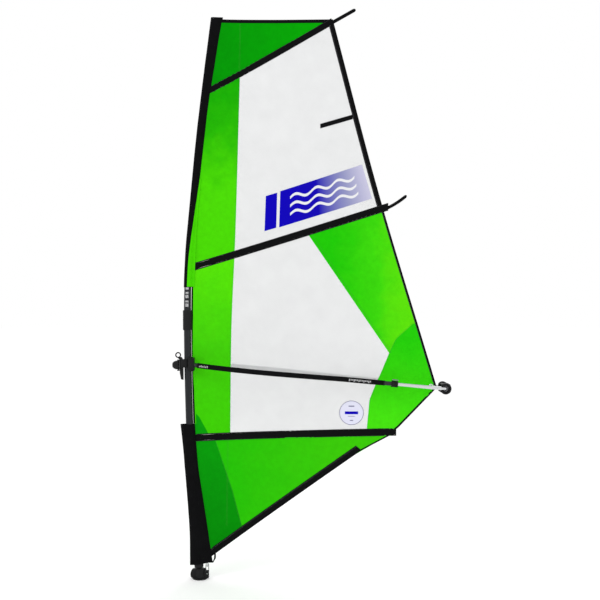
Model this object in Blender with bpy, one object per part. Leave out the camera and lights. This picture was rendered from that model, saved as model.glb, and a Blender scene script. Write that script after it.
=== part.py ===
"""Windsurf sail rig: mast, sail, boom and mast base, rigged and tensioned.

Frame, in metres: the origin is the centre of the mast base's underside, +Z runs up the mast, +X runs aft
towards the clew and Y runs through the sail's thickness, with the belly of the sail on the +Y side.
"""
import math

import bmesh
import bpy
from mathutils import Matrix, Vector

# ---- driving dimensions -------------------------------------------------------------------------------------
GAP = 0.0003                 # left between touching pieces
CLOTH = 0.0012               # thickness of a sail panel
TAPE = 0.0020                # thickness of an edge tape
SEAM = 0.0008                # each panel stops this far short of its seam, where the real ones are lapped

MAST_AXIS = [(0.0, 0.0), (0.55, -0.0437), (1.0, -0.0665), (1.66, -0.079), (2.03, -0.070), (2.26, -0.052),
             (2.86, 0.004), (3.56, 0.0875)]          # (height, x)
MAST_FOOT_Z = 0.150
MAST_JOINT_Z = 1.600
MAST_TOP_Z = 3.530
MAST_RADIUS = 0.023
MAST_TIP_RADIUS = 0.012
MAST_WALL = 0.0022
BAND_Z = (1.565, 1.690)       # rubber band over the mast's joint
BAND_RADIUS = 0.029
FERRULE_HALF = 0.12           # half length of the inner joint tube
EXTENSION_Z = (0.069, 0.480)
HEIGHT_COLLAR_Z = 0.072
HEIGHT_COLLAR_RADIUS = 0.0285

HEAD_Z = 3.5186
LEECH = [(0.90, 1.575), (1.2002, 1.4931), (2.4098, 1.131), (3.5186, 0.838)]       # (height, x)
CLEW = (1.4931, 1.2002)      # (x, height)
CLEW_RING = (1.4560, 1.2120)
CLEW_RING_RADII = (0.0075, 0.0122)
BELLY = 0.045                # deepest camber of the sail

SLEEVE_WALL = 0.0012
SLEEVE_LOW = (0.108, 0.973)  # heights of the bib's ends
BIB_DROP = 0.022              # how much lower the bib hangs in front than behind
BIB_HALF_DEPTH = 0.0345
SLEEVE_EASE = 0.0060          # from the mast to the outside of the upper sleeve
SLEEVE_HIGH = (1.835, 3.535)
BIB_FRONT = [(0.108, -0.063), (0.30, -0.066), (0.52, -0.082), (0.82, -0.107), (0.973, -0.123)]
BIB_AFT = [(0.108, 0.078), (0.30, 0.049), (0.52, 0.016), (0.70, -0.012), (0.973, -0.0335)]
LUFF_HIGH = [(0.95, -0.0335), (1.40, -0.0485), (1.83, -0.045), (2.26, -0.026), (2.71, 0.0189), (3.01, 0.0567),
             (3.24, 0.0945), (3.40, 0.121), (3.56, 0.148)]

WINDOW_EDGE = [(0.90, 0.1793), (1.58, 0.186), (2.18, 0.211), (3.10, 0.240)]       # luff panel to film
TOP_BATTEN = ((0.0315, 3.0587), (0.8253, 3.5060))
MID_BATTEN = ((-0.0756, 1.9517), (1.1718, 2.3377))
LOW_BATTEN = ((0.0315, 0.8883), (1.2411, 0.9210))
MINI_BATTEN = ((0.7623, 2.8539), (0.9480, 2.9050))
POCKET_WIDTH = {"top": 0.040, "middle": 0.047, "lower": 0.048, "short": 0.028}
POCKET_DEPTH = 0.0072
POCKET_WALL = 0.0010
BATTEN_DEPTH = 0.0036

BOOM_SLOPE = -0.0936         # rise per metre aft
BOOM_AT = (-0.063, 1.3514)   # (x, height) of a point on the boom's axis
ARM_RADIUS = 0.0135
ARM_WALL = 0.0016
GRIP_RADIUS = 0.0158
TAIL_RADIUS = 0.0113
ARM_HALF = [(-0.0317, 0.056), (0.08, 0.116), (0.24, 0.158), (0.43, 0.170), (0.66, 0.136), (0.90, 0.078),
            (1.00, 0.075), (1.30, 0.075)]   # (x, half the boom's width)
ARM_FRONT_X = -0.0245
ARM_STRAIGHT_X = 0.945        # the arms run straight from here aft
GRIP_END_X = 1.150
ARM_END_X = 1.197
TAIL_INNER_X = 0.960
TAIL_OUTER_X = 1.5035
TAIL_Y = 0.075                # half the spacing of the tail tubes
COLLAR_LENGTH = 0.042
COLLAR_RADIUS = 0.0205
FITTING_HALF = 0.027          # half height of the tail end fitting
OUTHAUL_PIN = (1.5310, 0.0290)       # (x, half spacing) of the outhaul sheaves
OUTHAUL_GROOVE = 0.0080

BUTTON_Z = 0.036             # height of the base's release button
BLOCK_X = 0.046              # pulleys of the downhaul
BASE_SHEAVE_Z = 0.034
TACK_SHEAVE_Z = 0.086
SHEAVE_RADIUS = 0.0100
SHEAVE_GROOVE = 0.0066
SHEAVE_WIDTH = 0.0066
SHEAVE_PITCH = 0.0084
AXLE_RADIUS = 0.0025
BORE_RADIUS = 0.00285
LINE_RADIUS = 0.0015

HEAD_CENTRE_Z = 1.356        # boom head on the mast


# ---- small tools --------------------------------------------------------------------------------------------
def material(name, colour, roughness, metallic=0.0):
    made = bpy.data.materials.get(name)
    if made is None:
        made = bpy.data.materials.new(name)
        made.use_nodes = True
        shader = made.node_tree.nodes["Principled BSDF"]
        shader.inputs["Base Color"].default_value = (*colour, 1.0)
        shader.inputs["Roughness"].default_value = roughness
        shader.inputs["Metallic"].default_value = metallic
    return made


FINISHES = {
    "mast_black": ((0.012, 0.012, 0.014), 0.45, 0.0),
    "sleeve_black": ((0.010, 0.010, 0.011), 0.85, 0.0),
    "webbing_black": ((0.012, 0.012, 0.013), 0.80, 0.0),
    "cloth_green": ((0.05, 0.60, 0.002), 0.50, 0.0),
    "cloth_dark_green": ((0.004, 0.30, 0.001), 0.50, 0.0),
    "film": ((0.80, 0.81, 0.82), 0.20, 0.0),
    "batten": ((0.60, 0.60, 0.55), 0.50, 0.0),
    "foam_black": ((0.015, 0.015, 0.016), 0.90, 0.0),
    "plastic_black": ((0.015, 0.015, 0.017), 0.50, 0.0),
    "plastic_grey": ((0.25, 0.26, 0.28), 0.45, 0.0),
    "alloy": ((0.72, 0.73, 0.75), 0.30, 1.0),
    "steel": ((0.60, 0.60, 0.62), 0.25, 1.0),
    "rubber_black": ((0.010, 0.010, 0.010), 0.90, 0.0),
    "line_black": ((0.020, 0.020, 0.022), 0.80, 0.0),
}


def add_object(name, data, finish):
    piece = bpy.data.objects.new(name, data)
    bpy.context.scene.collection.objects.link(piece)
    piece.data.materials.append(material(finish, *FINISHES[finish]))
    return piece


def finish_mesh(name, bm, finish, sharp=35.0):
    """Turn a bmesh into a named, smooth-shaded object."""
    bmesh.ops.recalc_face_normals(bm, faces=bm.faces)
    mesh = bpy.data.meshes.new(name)
    bm.to_mesh(mesh)
    bm.free()
    mesh.shade_smooth()
    mesh.set_sharp_from_angle(angle=math.radians(sharp))
    return add_object(name, mesh, finish)


def smooth_value(points, at):
    """Value of the smooth curve through (at, value) points: cubic Hermite pieces with averaged slopes."""
    count = len(points)
    slopes = []
    for i in range(count):
        low, high = max(i - 1, 0), min(i + 1, count - 1)
        slopes.append((points[high][1] - points[low][1]) / (points[high][0] - points[low][0]))
    i = 0
    while i < count - 2 and at > points[i + 1][0]:
        i += 1
    (a, va), (b, vb) = points[i], points[i + 1]
    step = b - a
    t = (at - a) / step
    if t < 0.0:
        return va + slopes[i] * (at - a)
    if t > 1.0:
        return vb + slopes[i + 1] * (at - b)
    return ((2 * t ** 3 - 3 * t ** 2 + 1) * va + (t ** 3 - 2 * t ** 2 + t) * step * slopes[i]
            + (3 * t ** 2 - 2 * t ** 3) * vb + (t ** 3 - t ** 2) * step * slopes[i + 1])


def mast_x(z):
    return smooth_value(MAST_AXIS, z)


def mast_radius(z):
    taper = max(0.0, z - MAST_JOINT_Z) / (MAST_TOP_Z - MAST_JOINT_Z)
    return MAST_RADIUS + (MAST_TIP_RADIUS - MAST_RADIUS) * taper


def luff_x(z):
    """Front edge of the flat sail, just behind the mast or its sleeve."""
    points = BIB_AFT if z < SLEEVE_LOW[1] else LUFF_HIGH
    return smooth_value(points, z)


def leech_x(z):
    return smooth_value(LEECH, z)


def camber(x, z):
    """How far the sail bellies to +Y at a point of its outline."""
    front = luff_x(z)
    chord = leech_x(max(z, CLEW[1])) - front
    part = min(max((x - front) / chord, 0.0), 1.0) ** 0.75
    depth = BELLY * (1.0 - ((z - 1.30) / 2.60) ** 2)
    return 4.0 * depth * part * (1.0 - part)


def boom_z(x):
    return BOOM_AT[1] + BOOM_SLOPE * (x - BOOM_AT[0])


def ring(bm, centre, forward, radius, sides):
    """A circle of vertices round centre, square to forward."""
    forward = forward.normalized()
    across = forward.cross(Vector((0, 1, 0)))
    if across.length < 0.1:
        across = forward.cross(Vector((1, 0, 0)))
    across.normalize()
    up = forward.cross(across)
    made = []
    for k in range(sides):
        angle = 2 * math.pi * k / sides
        made.append(bm.verts.new(centre + radius * (math.cos(angle) * across + math.sin(angle) * up)))
    return made


def skin(bm, rings):
    """Join rings of vertices with quads."""
    count = len(rings[0])
    for low, high in zip(rings, rings[1:]):
        for k in range(count):
            j = (k + 1) % count
            bm.faces.new((low[k], low[j], high[j], high[k]))


def tube(name, centres, radii, finish, sides=12, wall=None):
    """A tube or a rod along centres; wall makes it hollow, with open ends."""
    bm = bmesh.new()
    rings = []
    for i, centre in enumerate(centres):
        ahead = centres[min(i + 1, len(centres) - 1)] - centres[max(i - 1, 0)]
        rings.append(ring(bm, centre, ahead, radii[i], sides))
    skin(bm, rings)
    if wall is None:
        bm.faces.new(rings[0])
        bm.faces.new(rings[-1])
    else:
        inner = []
        for i, centre in enumerate(centres):
            ahead = centres[min(i + 1, len(centres) - 1)] - centres[max(i - 1, 0)]
            inner.append(ring(bm, centre, ahead, radii[i] - wall, sides))
        skin(bm, inner)
        skin(bm, [rings[0], inner[0]])
        skin(bm, [rings[-1], inner[-1]])
    return finish_mesh(name, bm, finish)


def turned(name, profile, centre, axis, finish, sides=16):
    """Revolve a closed (radius, height) profile about axis through centre."""
    bm = bmesh.new()
    turn = Vector((0, 0, 1)).rotation_difference(Vector(axis)).to_matrix().to_4x4()
    place = Matrix.Translation(Vector(centre)) @ turn
    loop = [bm.verts.new((radius, 0.0, height)) for radius, height in profile]
    face = bm.faces.new(loop)
    bmesh.ops.spin(bm, geom=[face], angle=2 * math.pi, steps=sides, axis=(0, 0, 1), cent=(0, 0, 0))
    bmesh.ops.remove_doubles(bm, verts=bm.verts, dist=1e-6)
    inside = [f for f in bm.faces if len(f.verts) == len(profile) and len(profile) > 4]
    if len(profile) == 4:
        inside = [f for f in bm.faces if abs(f.calc_center_median().y) < 1e-9 and f.calc_center_median().x > 0
                  and abs(f.normal.y) > 0.99]
    bmesh.ops.delete(bm, geom=inside, context="FACES_ONLY")
    bmesh.ops.transform(bm, matrix=place, verts=bm.verts)
    return finish_mesh(name, bm, finish)


def prism(name, outline, low, high, along, finish, bevel=0.0):
    """Extrude an outline between two values of the axis named along: x, y or z."""
    order = {"x": (1, 2), "y": (0, 2), "z": (0, 1)}[along]
    index = "xyz".index(along)
    bm = bmesh.new()
    verts = []
    for a, b in outline:
        place = [0.0, 0.0, 0.0]
        place[order[0]], place[order[1]], place[index] = a, b, low
        verts.append(bm.verts.new(place))
    face = bm.faces.new(verts)
    made = bmesh.ops.extrude_face_region(bm, geom=[face])["geom"]
    shift = [0.0, 0.0, 0.0]
    shift[index] = high - low
    bmesh.ops.translate(bm, vec=shift, verts=[v for v in made if isinstance(v, bmesh.types.BMVert)])
    piece = finish_mesh(name, bm, finish)
    if bevel:
        edge = piece.modifiers.new("edge", "BEVEL")
        edge.width = bevel
        edge.segments = 1
        edge.limit_method = "ANGLE"
        edge.angle_limit = math.radians(40)
    return piece


def cut(piece, cutter):
    cutter.hide_render = True
    cutter.display_type = "WIRE"
    hole = piece.modifiers.new("cut", "BOOLEAN")
    hole.operation = "DIFFERENCE"
    hole.solver = "EXACT"
    hole.object = cutter


def merge(piece, other):
    """Mould other onto piece: the two become one body."""
    cut(piece, other)
    piece.modifiers[-1].name = "merge"
    piece.modifiers[-1].operation = "UNION"


def rod(name, start, end, radius, finish, sides=12):
    start, end = Vector(start), Vector(end)
    return tube(name, [start, end], [radius, radius], finish, sides)


def arc(centre, radius, start, end, steps):
    """Points of an arc in degrees, both ends included."""
    points = []
    for k in range(steps + 1):
        angle = math.radians(start + (end - start) * k / steps)
        points.append((centre[0] + radius * math.cos(angle), centre[1] + radius * math.sin(angle)))
    return points


def along(points, part):
    """The point at a fraction of a polyline's length, with z weighted like x."""
    lengths = [math.dist(points[i], points[i + 1]) for i in range(len(points) - 1)]
    target = part * sum(lengths)
    for i, length in enumerate(lengths):
        if target <= length or i == len(lengths) - 1:
            t = target / length
            a, b = points[i], points[i + 1]
            return (a[0] + (b[0] - a[0]) * t, a[1] + (b[1] - a[1]) * t)
        target -= length
    return points[-1]


def fractions(side_a, side_b, wanted):
    """Where to place a panel's rows: at every corner of both sides, and no further apart than 1 / wanted."""
    marks = [0.0, 1.0]
    for points in (side_a, side_b):
        lengths = [math.dist(points[i], points[i + 1]) for i in range(len(points) - 1)]
        for i in range(1, len(lengths)):
            mark = sum(lengths[:i]) / sum(lengths)
            if all(abs(mark - other) > 0.012 for other in marks):
                marks.append(mark)
    marks.sort()
    made = [0.0]
    for low, high in zip(marks, marks[1:]):
        parts = math.ceil((high - low) * wanted - 0.2)
        made += [low + (high - low) * (k + 1) / max(parts, 1) for k in range(max(parts, 1))]
    return made


def coons(bottom, top, left, right, u, v):
    """Point of the patch between four edges of an outline; u runs aft and v runs up."""
    b, t = along(bottom, u), along(top, u)
    l, r = along(left, v), along(right, v)
    corners = (bottom[0], bottom[-1], top[0], top[-1])
    weights = ((1 - u) * (1 - v), u * (1 - v), (1 - u) * v, u * v)
    point = []
    for k in range(2):
        value = (1 - v) * b[k] + v * t[k] + (1 - u) * l[k] + u * r[k]
        point.append(value - sum(w * c[k] for w, c in zip(weights, corners)))
    return point


def panel(name, bottom, top, left, right, finish, columns=6, rows=6, thick=CLOTH):
    """A thin closed sheet between four edges, bellied with the sail."""
    across = fractions(bottom, top, columns)
    up = fractions(left, right, rows)
    columns, rows = len(across) - 1, len(up) - 1
    bm = bmesh.new()
    faces = []
    for side in (-1, 1):
        grid = []
        for v in up:
            line = []
            for u in across:
                ends_u = SEAM / max(math.dist(along(left, v), along(right, v)), 0.01)
                ends_v = SEAM / max(math.dist(along(bottom, u), along(top, u)), 0.01)
                x, z = coons(bottom, top, left, right, ends_u + (1 - 2 * ends_u) * u,
                             ends_v + (1 - 2 * ends_v) * v)
                line.append(bm.verts.new((x, camber(x, z) + side * thick / 2, z)))
            grid.append(line)
        faces.append(grid)
        for j in range(rows):
            for i in range(columns):
                bm.faces.new((grid[j][i], grid[j][i + 1], grid[j + 1][i + 1], grid[j + 1][i]))
    rims = []
    for grid in faces:
        rim = grid[0][:-1] + [line[-1] for line in grid[:-1]] + grid[-1][:0:-1]
        rims.append(rim + [line[0] for line in grid[:0:-1]])
    skin(bm, rims)
    return finish_mesh(name, bm, finish)


def line_z(batten, x, offset=0.0):
    """Height of a batten's centre line at x, offset square to it."""
    (xa, za), (xb, zb) = batten
    slope = (zb - za) / (xb - xa)
    return za + slope * (x - xa) + offset * math.sqrt(1 + slope * slope)


def batten_edge(batten, half, x_from, x_to):
    return [(x_from, line_z(batten, x_from, half)), (x_to, line_z(batten, x_to, half))]


def curve_points(points, low, high, steps):
    """(x, height) points of a (height, x) curve between two heights."""
    made = []
    for k in range(steps + 1):
        z = low + (high - low) * k / steps
        made.append((smooth_value(points, z), z))
    return made


def shifted(points, dx=0.0, dz=0.0):
    return [(x + dx, z + dz) for x, z in points]


# ---- mast ---------------------------------------------------------------------------------------------------
def mast_centres(low, high, steps):
    return [Vector((mast_x(low + (high - low) * k / steps), 0, low + (high - low) * k / steps))
            for k in range(steps + 1)]


def make_mast():
    lower = mast_centres(MAST_FOOT_Z, MAST_JOINT_Z, 9)
    tube("mast_lower", lower, [MAST_RADIUS] * 10, "mast_black", 12, MAST_WALL)
    upper = mast_centres(MAST_JOINT_Z + GAP, MAST_TOP_Z, 12)
    tube("mast_upper", upper, [mast_radius(c.z) for c in upper], "mast_black", 12, MAST_WALL)
    ferrule = mast_centres(MAST_JOINT_Z - FERRULE_HALF, MAST_JOINT_Z + FERRULE_HALF, 3)
    tube("mast_ferrule", ferrule, [MAST_RADIUS - 2 * MAST_WALL] * 4, "plastic_black", 10)
    band = mast_centres(*BAND_Z, 2)
    tube("mast_joint_band", band, [BAND_RADIUS] * 3, "rubber_black", 14, 0.0052)


def make_extension():
    inner = MAST_RADIUS - MAST_WALL - 0.0016
    centres = mast_centres(*EXTENSION_Z, 4)
    tube("extension_tube", centres, [inner] * 5, "mast_black", 12, 0.0020)
    collar = mast_centres(HEIGHT_COLLAR_Z, MAST_FOOT_Z - GAP, 1)
    tube("extension_collar", collar, [HEIGHT_COLLAR_RADIUS] * 2, "plastic_black", 14, 0.0085)


# ---- mast base and downhaul ---------------------------------------------------------------------------------
def make_base():
    profile = [(0.0160, 0.0), (0.0450, 0.0), (0.0470, 0.003), (0.0460, 0.008), (0.0330, 0.014), (0.0295, 0.024),
               (0.0295, 0.050), (0.0265, 0.060), (0.0265, 0.066), (0.0080, 0.066), (0.0080, 0.058),
               (0.0160, 0.050)]
    cup = turned("base_cup", profile, (0, 0, 0), (0, 0, 1), "plastic_black", 20)
    width = 1.5 * SHEAVE_PITCH + 0.0006
    cheek = width + 0.0040
    outline = [(0.0270, -cheek), (0.0560, -cheek), (0.0560, -width), (0.0335, -width), (0.0335, width),
               (0.0560, width), (0.0560, cheek), (0.0270, cheek)]
    merge(cup, prism("pulley_housing", outline, 0.0060, 0.0500, "z", "plastic_black"))
    jaw = [(0.0240, 0.0048), (0.0385, 0.0048), (0.0385, 0.0063), (0.0340, 0.0065), (0.0340, 0.0103),
           (0.0385, 0.0105), (0.0385, 0.0130), (0.0240, 0.0130)]
    merge(cup, prism("downhaul_cleat", jaw, 0.0480, 0.0640, "z", "plastic_black"))
    shroud = [(-0.0200, 0.0080), (-0.0500, 0.0090), (-0.0570, 0.0180), (-0.0585, 0.0330), (-0.0560, 0.0480),
              (-0.0480, 0.0590), (-0.0380, 0.0630), (-0.0200, 0.0630)]
    merge(cup, prism("button_shroud", shroud, -0.0180, 0.0180, "y", "plastic_black"))
    cut(cup, rod("button_bore", (-0.064, 0, BUTTON_Z), (-0.014, 0, BUTTON_Z), 0.0064, "plastic_grey", 12))
    cut(cup, rod("cap_bore", (-0.064, 0, BUTTON_Z), (-0.0385, 0, BUTTON_Z), 0.0098, "plastic_grey", 16))
    button = [(0.0, 0.0), (0.0060, 0.0), (0.0060, 0.022), (0.0085, 0.0225), (0.0085, 0.0265), (0.0, 0.0275)]
    solid_turned("base_release_button", button, (-0.0208, 0, BUTTON_Z), (-1, 0, 0), "plastic_grey")
    cut(cup, rod("axle_bore", (BLOCK_X, -0.03, BASE_SHEAVE_Z), (BLOCK_X, 0.03, BASE_SHEAVE_Z), BORE_RADIUS,
                 "steel"))
    rod("base_sheave_axle", (BLOCK_X, -cheek, BASE_SHEAVE_Z), (BLOCK_X, cheek, BASE_SHEAVE_Z), AXLE_RADIUS,
        "steel", 10)
    for k in range(3):
        sheave("base_sheave_%d" % (k + 1), (BLOCK_X, (k - 1) * SHEAVE_PITCH, BASE_SHEAVE_Z), (0, 1, 0))


def solid_turned(name, profile, centre, axis, finish, sides=12):
    """Revolve an open profile that starts and ends on the axis."""
    bm = bmesh.new()
    rings = []
    for radius, height in profile:
        if radius == 0.0:
            rings.append(bm.verts.new((0, 0, height)))
        else:
            rings.append([bm.verts.new((radius * math.cos(2 * math.pi * k / sides),
                                        radius * math.sin(2 * math.pi * k / sides), height))
                          for k in range(sides)])
    skin(bm, rings[1:-1])
    for k in range(sides):
        j = (k + 1) % sides
        bm.faces.new((rings[0], rings[1][j], rings[1][k]))
        bm.faces.new((rings[-1], rings[-2][k], rings[-2][j]))
    turn = Vector((0, 0, 1)).rotation_difference(Vector(axis)).to_matrix().to_4x4()
    bmesh.ops.transform(bm, matrix=Matrix.Translation(Vector(centre)) @ turn, verts=bm.verts)
    return finish_mesh(name, bm, finish)


def sheave(name, centre, axis, radius=SHEAVE_RADIUS, groove=SHEAVE_GROOVE):
    half = SHEAVE_WIDTH / 2
    profile = [(BORE_RADIUS, -half), (radius, -half), (groove, 0.0), (radius, half), (BORE_RADIUS, half)]
    return turned(name, profile, centre, axis, "plastic_grey", 16)


def cord(name, points, radius, finish):
    """A tube along the smooth curve through points, with capped ends."""
    data = bpy.data.curves.new(name, "CURVE")
    data.dimensions = "3D"
    data.bevel_depth = radius
    data.bevel_resolution = 2
    data.use_fill_caps = True
    data.resolution_u = 1
    data.render_resolution_u = 0
    line = data.splines.new("POLY")
    line.points.add(len(points) - 1)
    for place, point in zip(line.points, points):
        place.co = (*point, 1.0)
    return add_object(name, data, finish)


def downhaul_route():
    """Strands between the tack sheaves and the base sheaves, moving across by half a pitch on each strand."""
    reach = SHEAVE_GROOVE + LINE_RADIUS + 0.0009
    route = [(BLOCK_X + reach, -SHEAVE_PITCH, TACK_SHEAVE_Z - 0.010)]
    across = -SHEAVE_PITCH
    for turn in range(3):
        for k in range(7):
            angle = math.pi + math.pi * k / 6
            route.append((BLOCK_X - reach * math.cos(angle), across, BASE_SHEAVE_Z + reach * math.sin(angle)))
        if turn == 2:
            break
        across += SHEAVE_PITCH / 2
        for k in range(7):
            angle = math.pi * k / 6
            route.append((BLOCK_X - reach * math.cos(angle), across, TACK_SHEAVE_Z + reach * math.sin(angle)))
        across += SHEAVE_PITCH / 2
    route.append((BLOCK_X - reach, SHEAVE_PITCH, 0.0680))
    return route


def make_downhaul():
    width = SHEAVE_PITCH + 0.0006
    cheek = width + 0.0025
    outline = [(-cheek, TACK_SHEAVE_Z - 0.006), (-width, TACK_SHEAVE_Z - 0.006), (-width, 0.0985),
               (width, 0.0985), (width, TACK_SHEAVE_Z - 0.006), (cheek, TACK_SHEAVE_Z - 0.006), (cheek, 0.1015),
               (-cheek, 0.1015)]
    block = prism("tack_block", outline, BLOCK_X - 0.007, BLOCK_X + 0.007, "x", "steel")
    cut(block, rod("tack_bore", (BLOCK_X, -0.03, TACK_SHEAVE_Z), (BLOCK_X, 0.03, TACK_SHEAVE_Z), BORE_RADIUS,
                   "steel"))
    rod("tack_axle", (BLOCK_X, -cheek, TACK_SHEAVE_Z), (BLOCK_X, cheek, TACK_SHEAVE_Z), AXLE_RADIUS, "steel", 10)
    for k in range(2):
        sheave("tack_sheave_%d" % (k + 1), (BLOCK_X, (k - 0.5) * SHEAVE_PITCH, TACK_SHEAVE_Z), (0, 1, 0))
    strap = [(BLOCK_X - 0.006, 0.1018), (0.0840, 0.1018), (0.1000, 0.1300), (0.1000, 0.1540), (0.0905, 0.1555),
             (0.0880, 0.1260), (0.0800, 0.1070), (BLOCK_X - 0.006, 0.1070)]
    prism("tack_strap", strap, -0.009, 0.009, "y", "webbing_black")
    cord("downhaul_line", downhaul_route(), LINE_RADIUS, "line_black")


# ---- sail ---------------------------------------------------------------------------------------------------
def sleeve(name, low, high, rings_wanted, front, aft, half_depth, finish, drop=0.0):
    """An open-ended oval tube of cloth from low to high, whose lower end hangs lower in front by drop."""
    bm = bmesh.new()
    outer, inner = [], []
    sides = 14
    for j in range(rings_wanted + 1):
        z = low + (high - low) * j / rings_wanted
        xa, xb = front(z), aft(z)
        centre, half = (xa + xb) / 2, (xb - xa) / 2
        lean = drop / 2 if j == 0 else 0.0
        for store, less in ((outer, 0.0), (inner, SLEEVE_WALL)):
            store.append([bm.verts.new((centre + (half - less) * math.cos(2 * math.pi * k / sides),
                                        (half_depth(z) - less) * math.sin(2 * math.pi * k / sides),
                                        z - lean * (1 - math.cos(2 * math.pi * k / sides))))
                          for k in range(sides)])
    skin(bm, outer)
    skin(bm, inner)
    skin(bm, [outer[0], inner[0]])
    skin(bm, [outer[-1], inner[-1]])
    return finish_mesh(name, bm, finish)


def make_sleeves():
    sleeve("luff_sleeve_lower", SLEEVE_LOW[0], SLEEVE_LOW[1], 7, lambda z: smooth_value(BIB_FRONT, z),
           lambda z: smooth_value(BIB_AFT, z) - GAP, lambda z: BIB_HALF_DEPTH, "sleeve_black", BIB_DROP)
    sleeve("luff_sleeve_upper", SLEEVE_HIGH[0], SLEEVE_HIGH[1], 10,
           lambda z: mast_x(z) - mast_radius(z) - SLEEVE_EASE, lambda z: luff_x(z) - GAP,
           lambda z: mast_radius(z) + SLEEVE_EASE, "sleeve_black")


def half_width(pocket):
    return POCKET_WIDTH[pocket] / 2


LEECH_TAPE = {"upper": 0.035, "lower": 0.016}
FOOT_TAPE_WIDTH = 0.044
FOOT_LINE = [(0.0640, 0.1330), (0.1764, 0.2111), (1.0458, 0.8222)]


def foot_offset(points, distance):
    """Shift the foot line square to itself, upwards."""
    (xa, za), (xb, zb) = points[-2], points[-1]
    length = math.hypot(xb - xa, zb - za)
    nx, nz = -(zb - za) / length, (xb - xa) / length
    return [(x + nx * distance, z + nz * distance) for x, z in points]


def leech_meet(batten, offset, inset):
    """Where a line offset from a batten meets the line inset from the leech."""
    x = batten[1][0]
    for _ in range(6):
        z = line_z(batten, x, offset)
        x = leech_x(z) - inset
    return x, z


def luff_meet(batten, offset):
    """Where a line offset from a batten meets the sail's front edge."""
    x = batten[0][0]
    for _ in range(6):
        z = line_z(batten, x, offset)
        x = luff_x(z)
    return z


def top_edge(x):
    return line_z(TOP_BATTEN, x, half_width("top") + GAP)


def make_upper_sail():
    tape = LEECH_TAPE["upper"]
    head_low = HEAD_Z
    # head panel, over the top batten
    front_low = luff_meet(TOP_BATTEN, half_width("top") + GAP)
    x_last = 0.770
    panel("head_panel", [(luff_x(front_low), top_edge(luff_x(front_low))), (x_last, top_edge(x_last))],
          [(luff_x(head_low) + GAP, head_low), (x_last, head_low)],
          curve_points(LUFF_HIGH, front_low, head_low, 4), [(x_last, top_edge(x_last)), (x_last, head_low)],
          "cloth_dark_green", 8, 4)
    # bay between the top and the middle batten
    low_half, high_half = half_width("middle") + GAP, -half_width("top") - GAP
    left_low, left_high = luff_meet(MID_BATTEN, low_half), luff_meet(TOP_BATTEN, high_half)
    seam_low, seam_high = line_z(MID_BATTEN, 0.205, low_half), line_z(TOP_BATTEN, 0.238, high_half)
    seam = curve_points(WINDOW_EDGE, seam_low, seam_high, 4)
    luff = curve_points(LUFF_HIGH, left_low, left_high, 6)
    panel("luff_panel_upper", [luff[0], shifted(seam, -GAP)[0]], [luff[-1], shifted(seam, -GAP)[-1]], luff,
          shifted(seam, -GAP), "cloth_green", 3, 8)
    low_meet, high_meet = leech_meet(MID_BATTEN, low_half, tape), leech_meet(TOP_BATTEN, high_half, tape)
    inner = shifted(curve_points(LEECH, low_meet[1], high_meet[1], 4), -tape)
    panel("window_upper", [seam[0], inner[0]], [seam[-1], inner[-1]], seam, inner, "film", 8, 8)
    outer = curve_points(LEECH, leech_meet(MID_BATTEN, low_half, 0.0)[1], HEAD_Z - 0.004, 5)
    edge = shifted(curve_points(LEECH, low_meet[1], HEAD_Z - 0.004, 5), -tape)
    panel("leech_tape_upper", [edge[0], outer[0]], [edge[-1], outer[-1]], edge, outer, "webbing_black", 1, 5,
          TAPE)


def seam_points():
    """Named seams of the middle bay, shared by the panels on both sides."""
    low_half = half_width("lower") + GAP
    mid_half = -half_width("middle") - GAP
    leech_seam = [(1.2002, 1.4207), (0.6993, line_z(MID_BATTEN, 0.6993, mid_half))]
    clew_low = [(1.0584, line_z(LOW_BATTEN, 1.0584, low_half)), (1.0773, 1.1246), (1.1088, 1.2002),
                (1.1529, 1.3010), (1.2002, 1.4207)]
    clew_high = [(1.2002, 1.4207), (1.2411, 1.5089), (1.3451, 1.6059)]
    return low_half, mid_half, leech_seam, clew_low, clew_high


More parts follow.
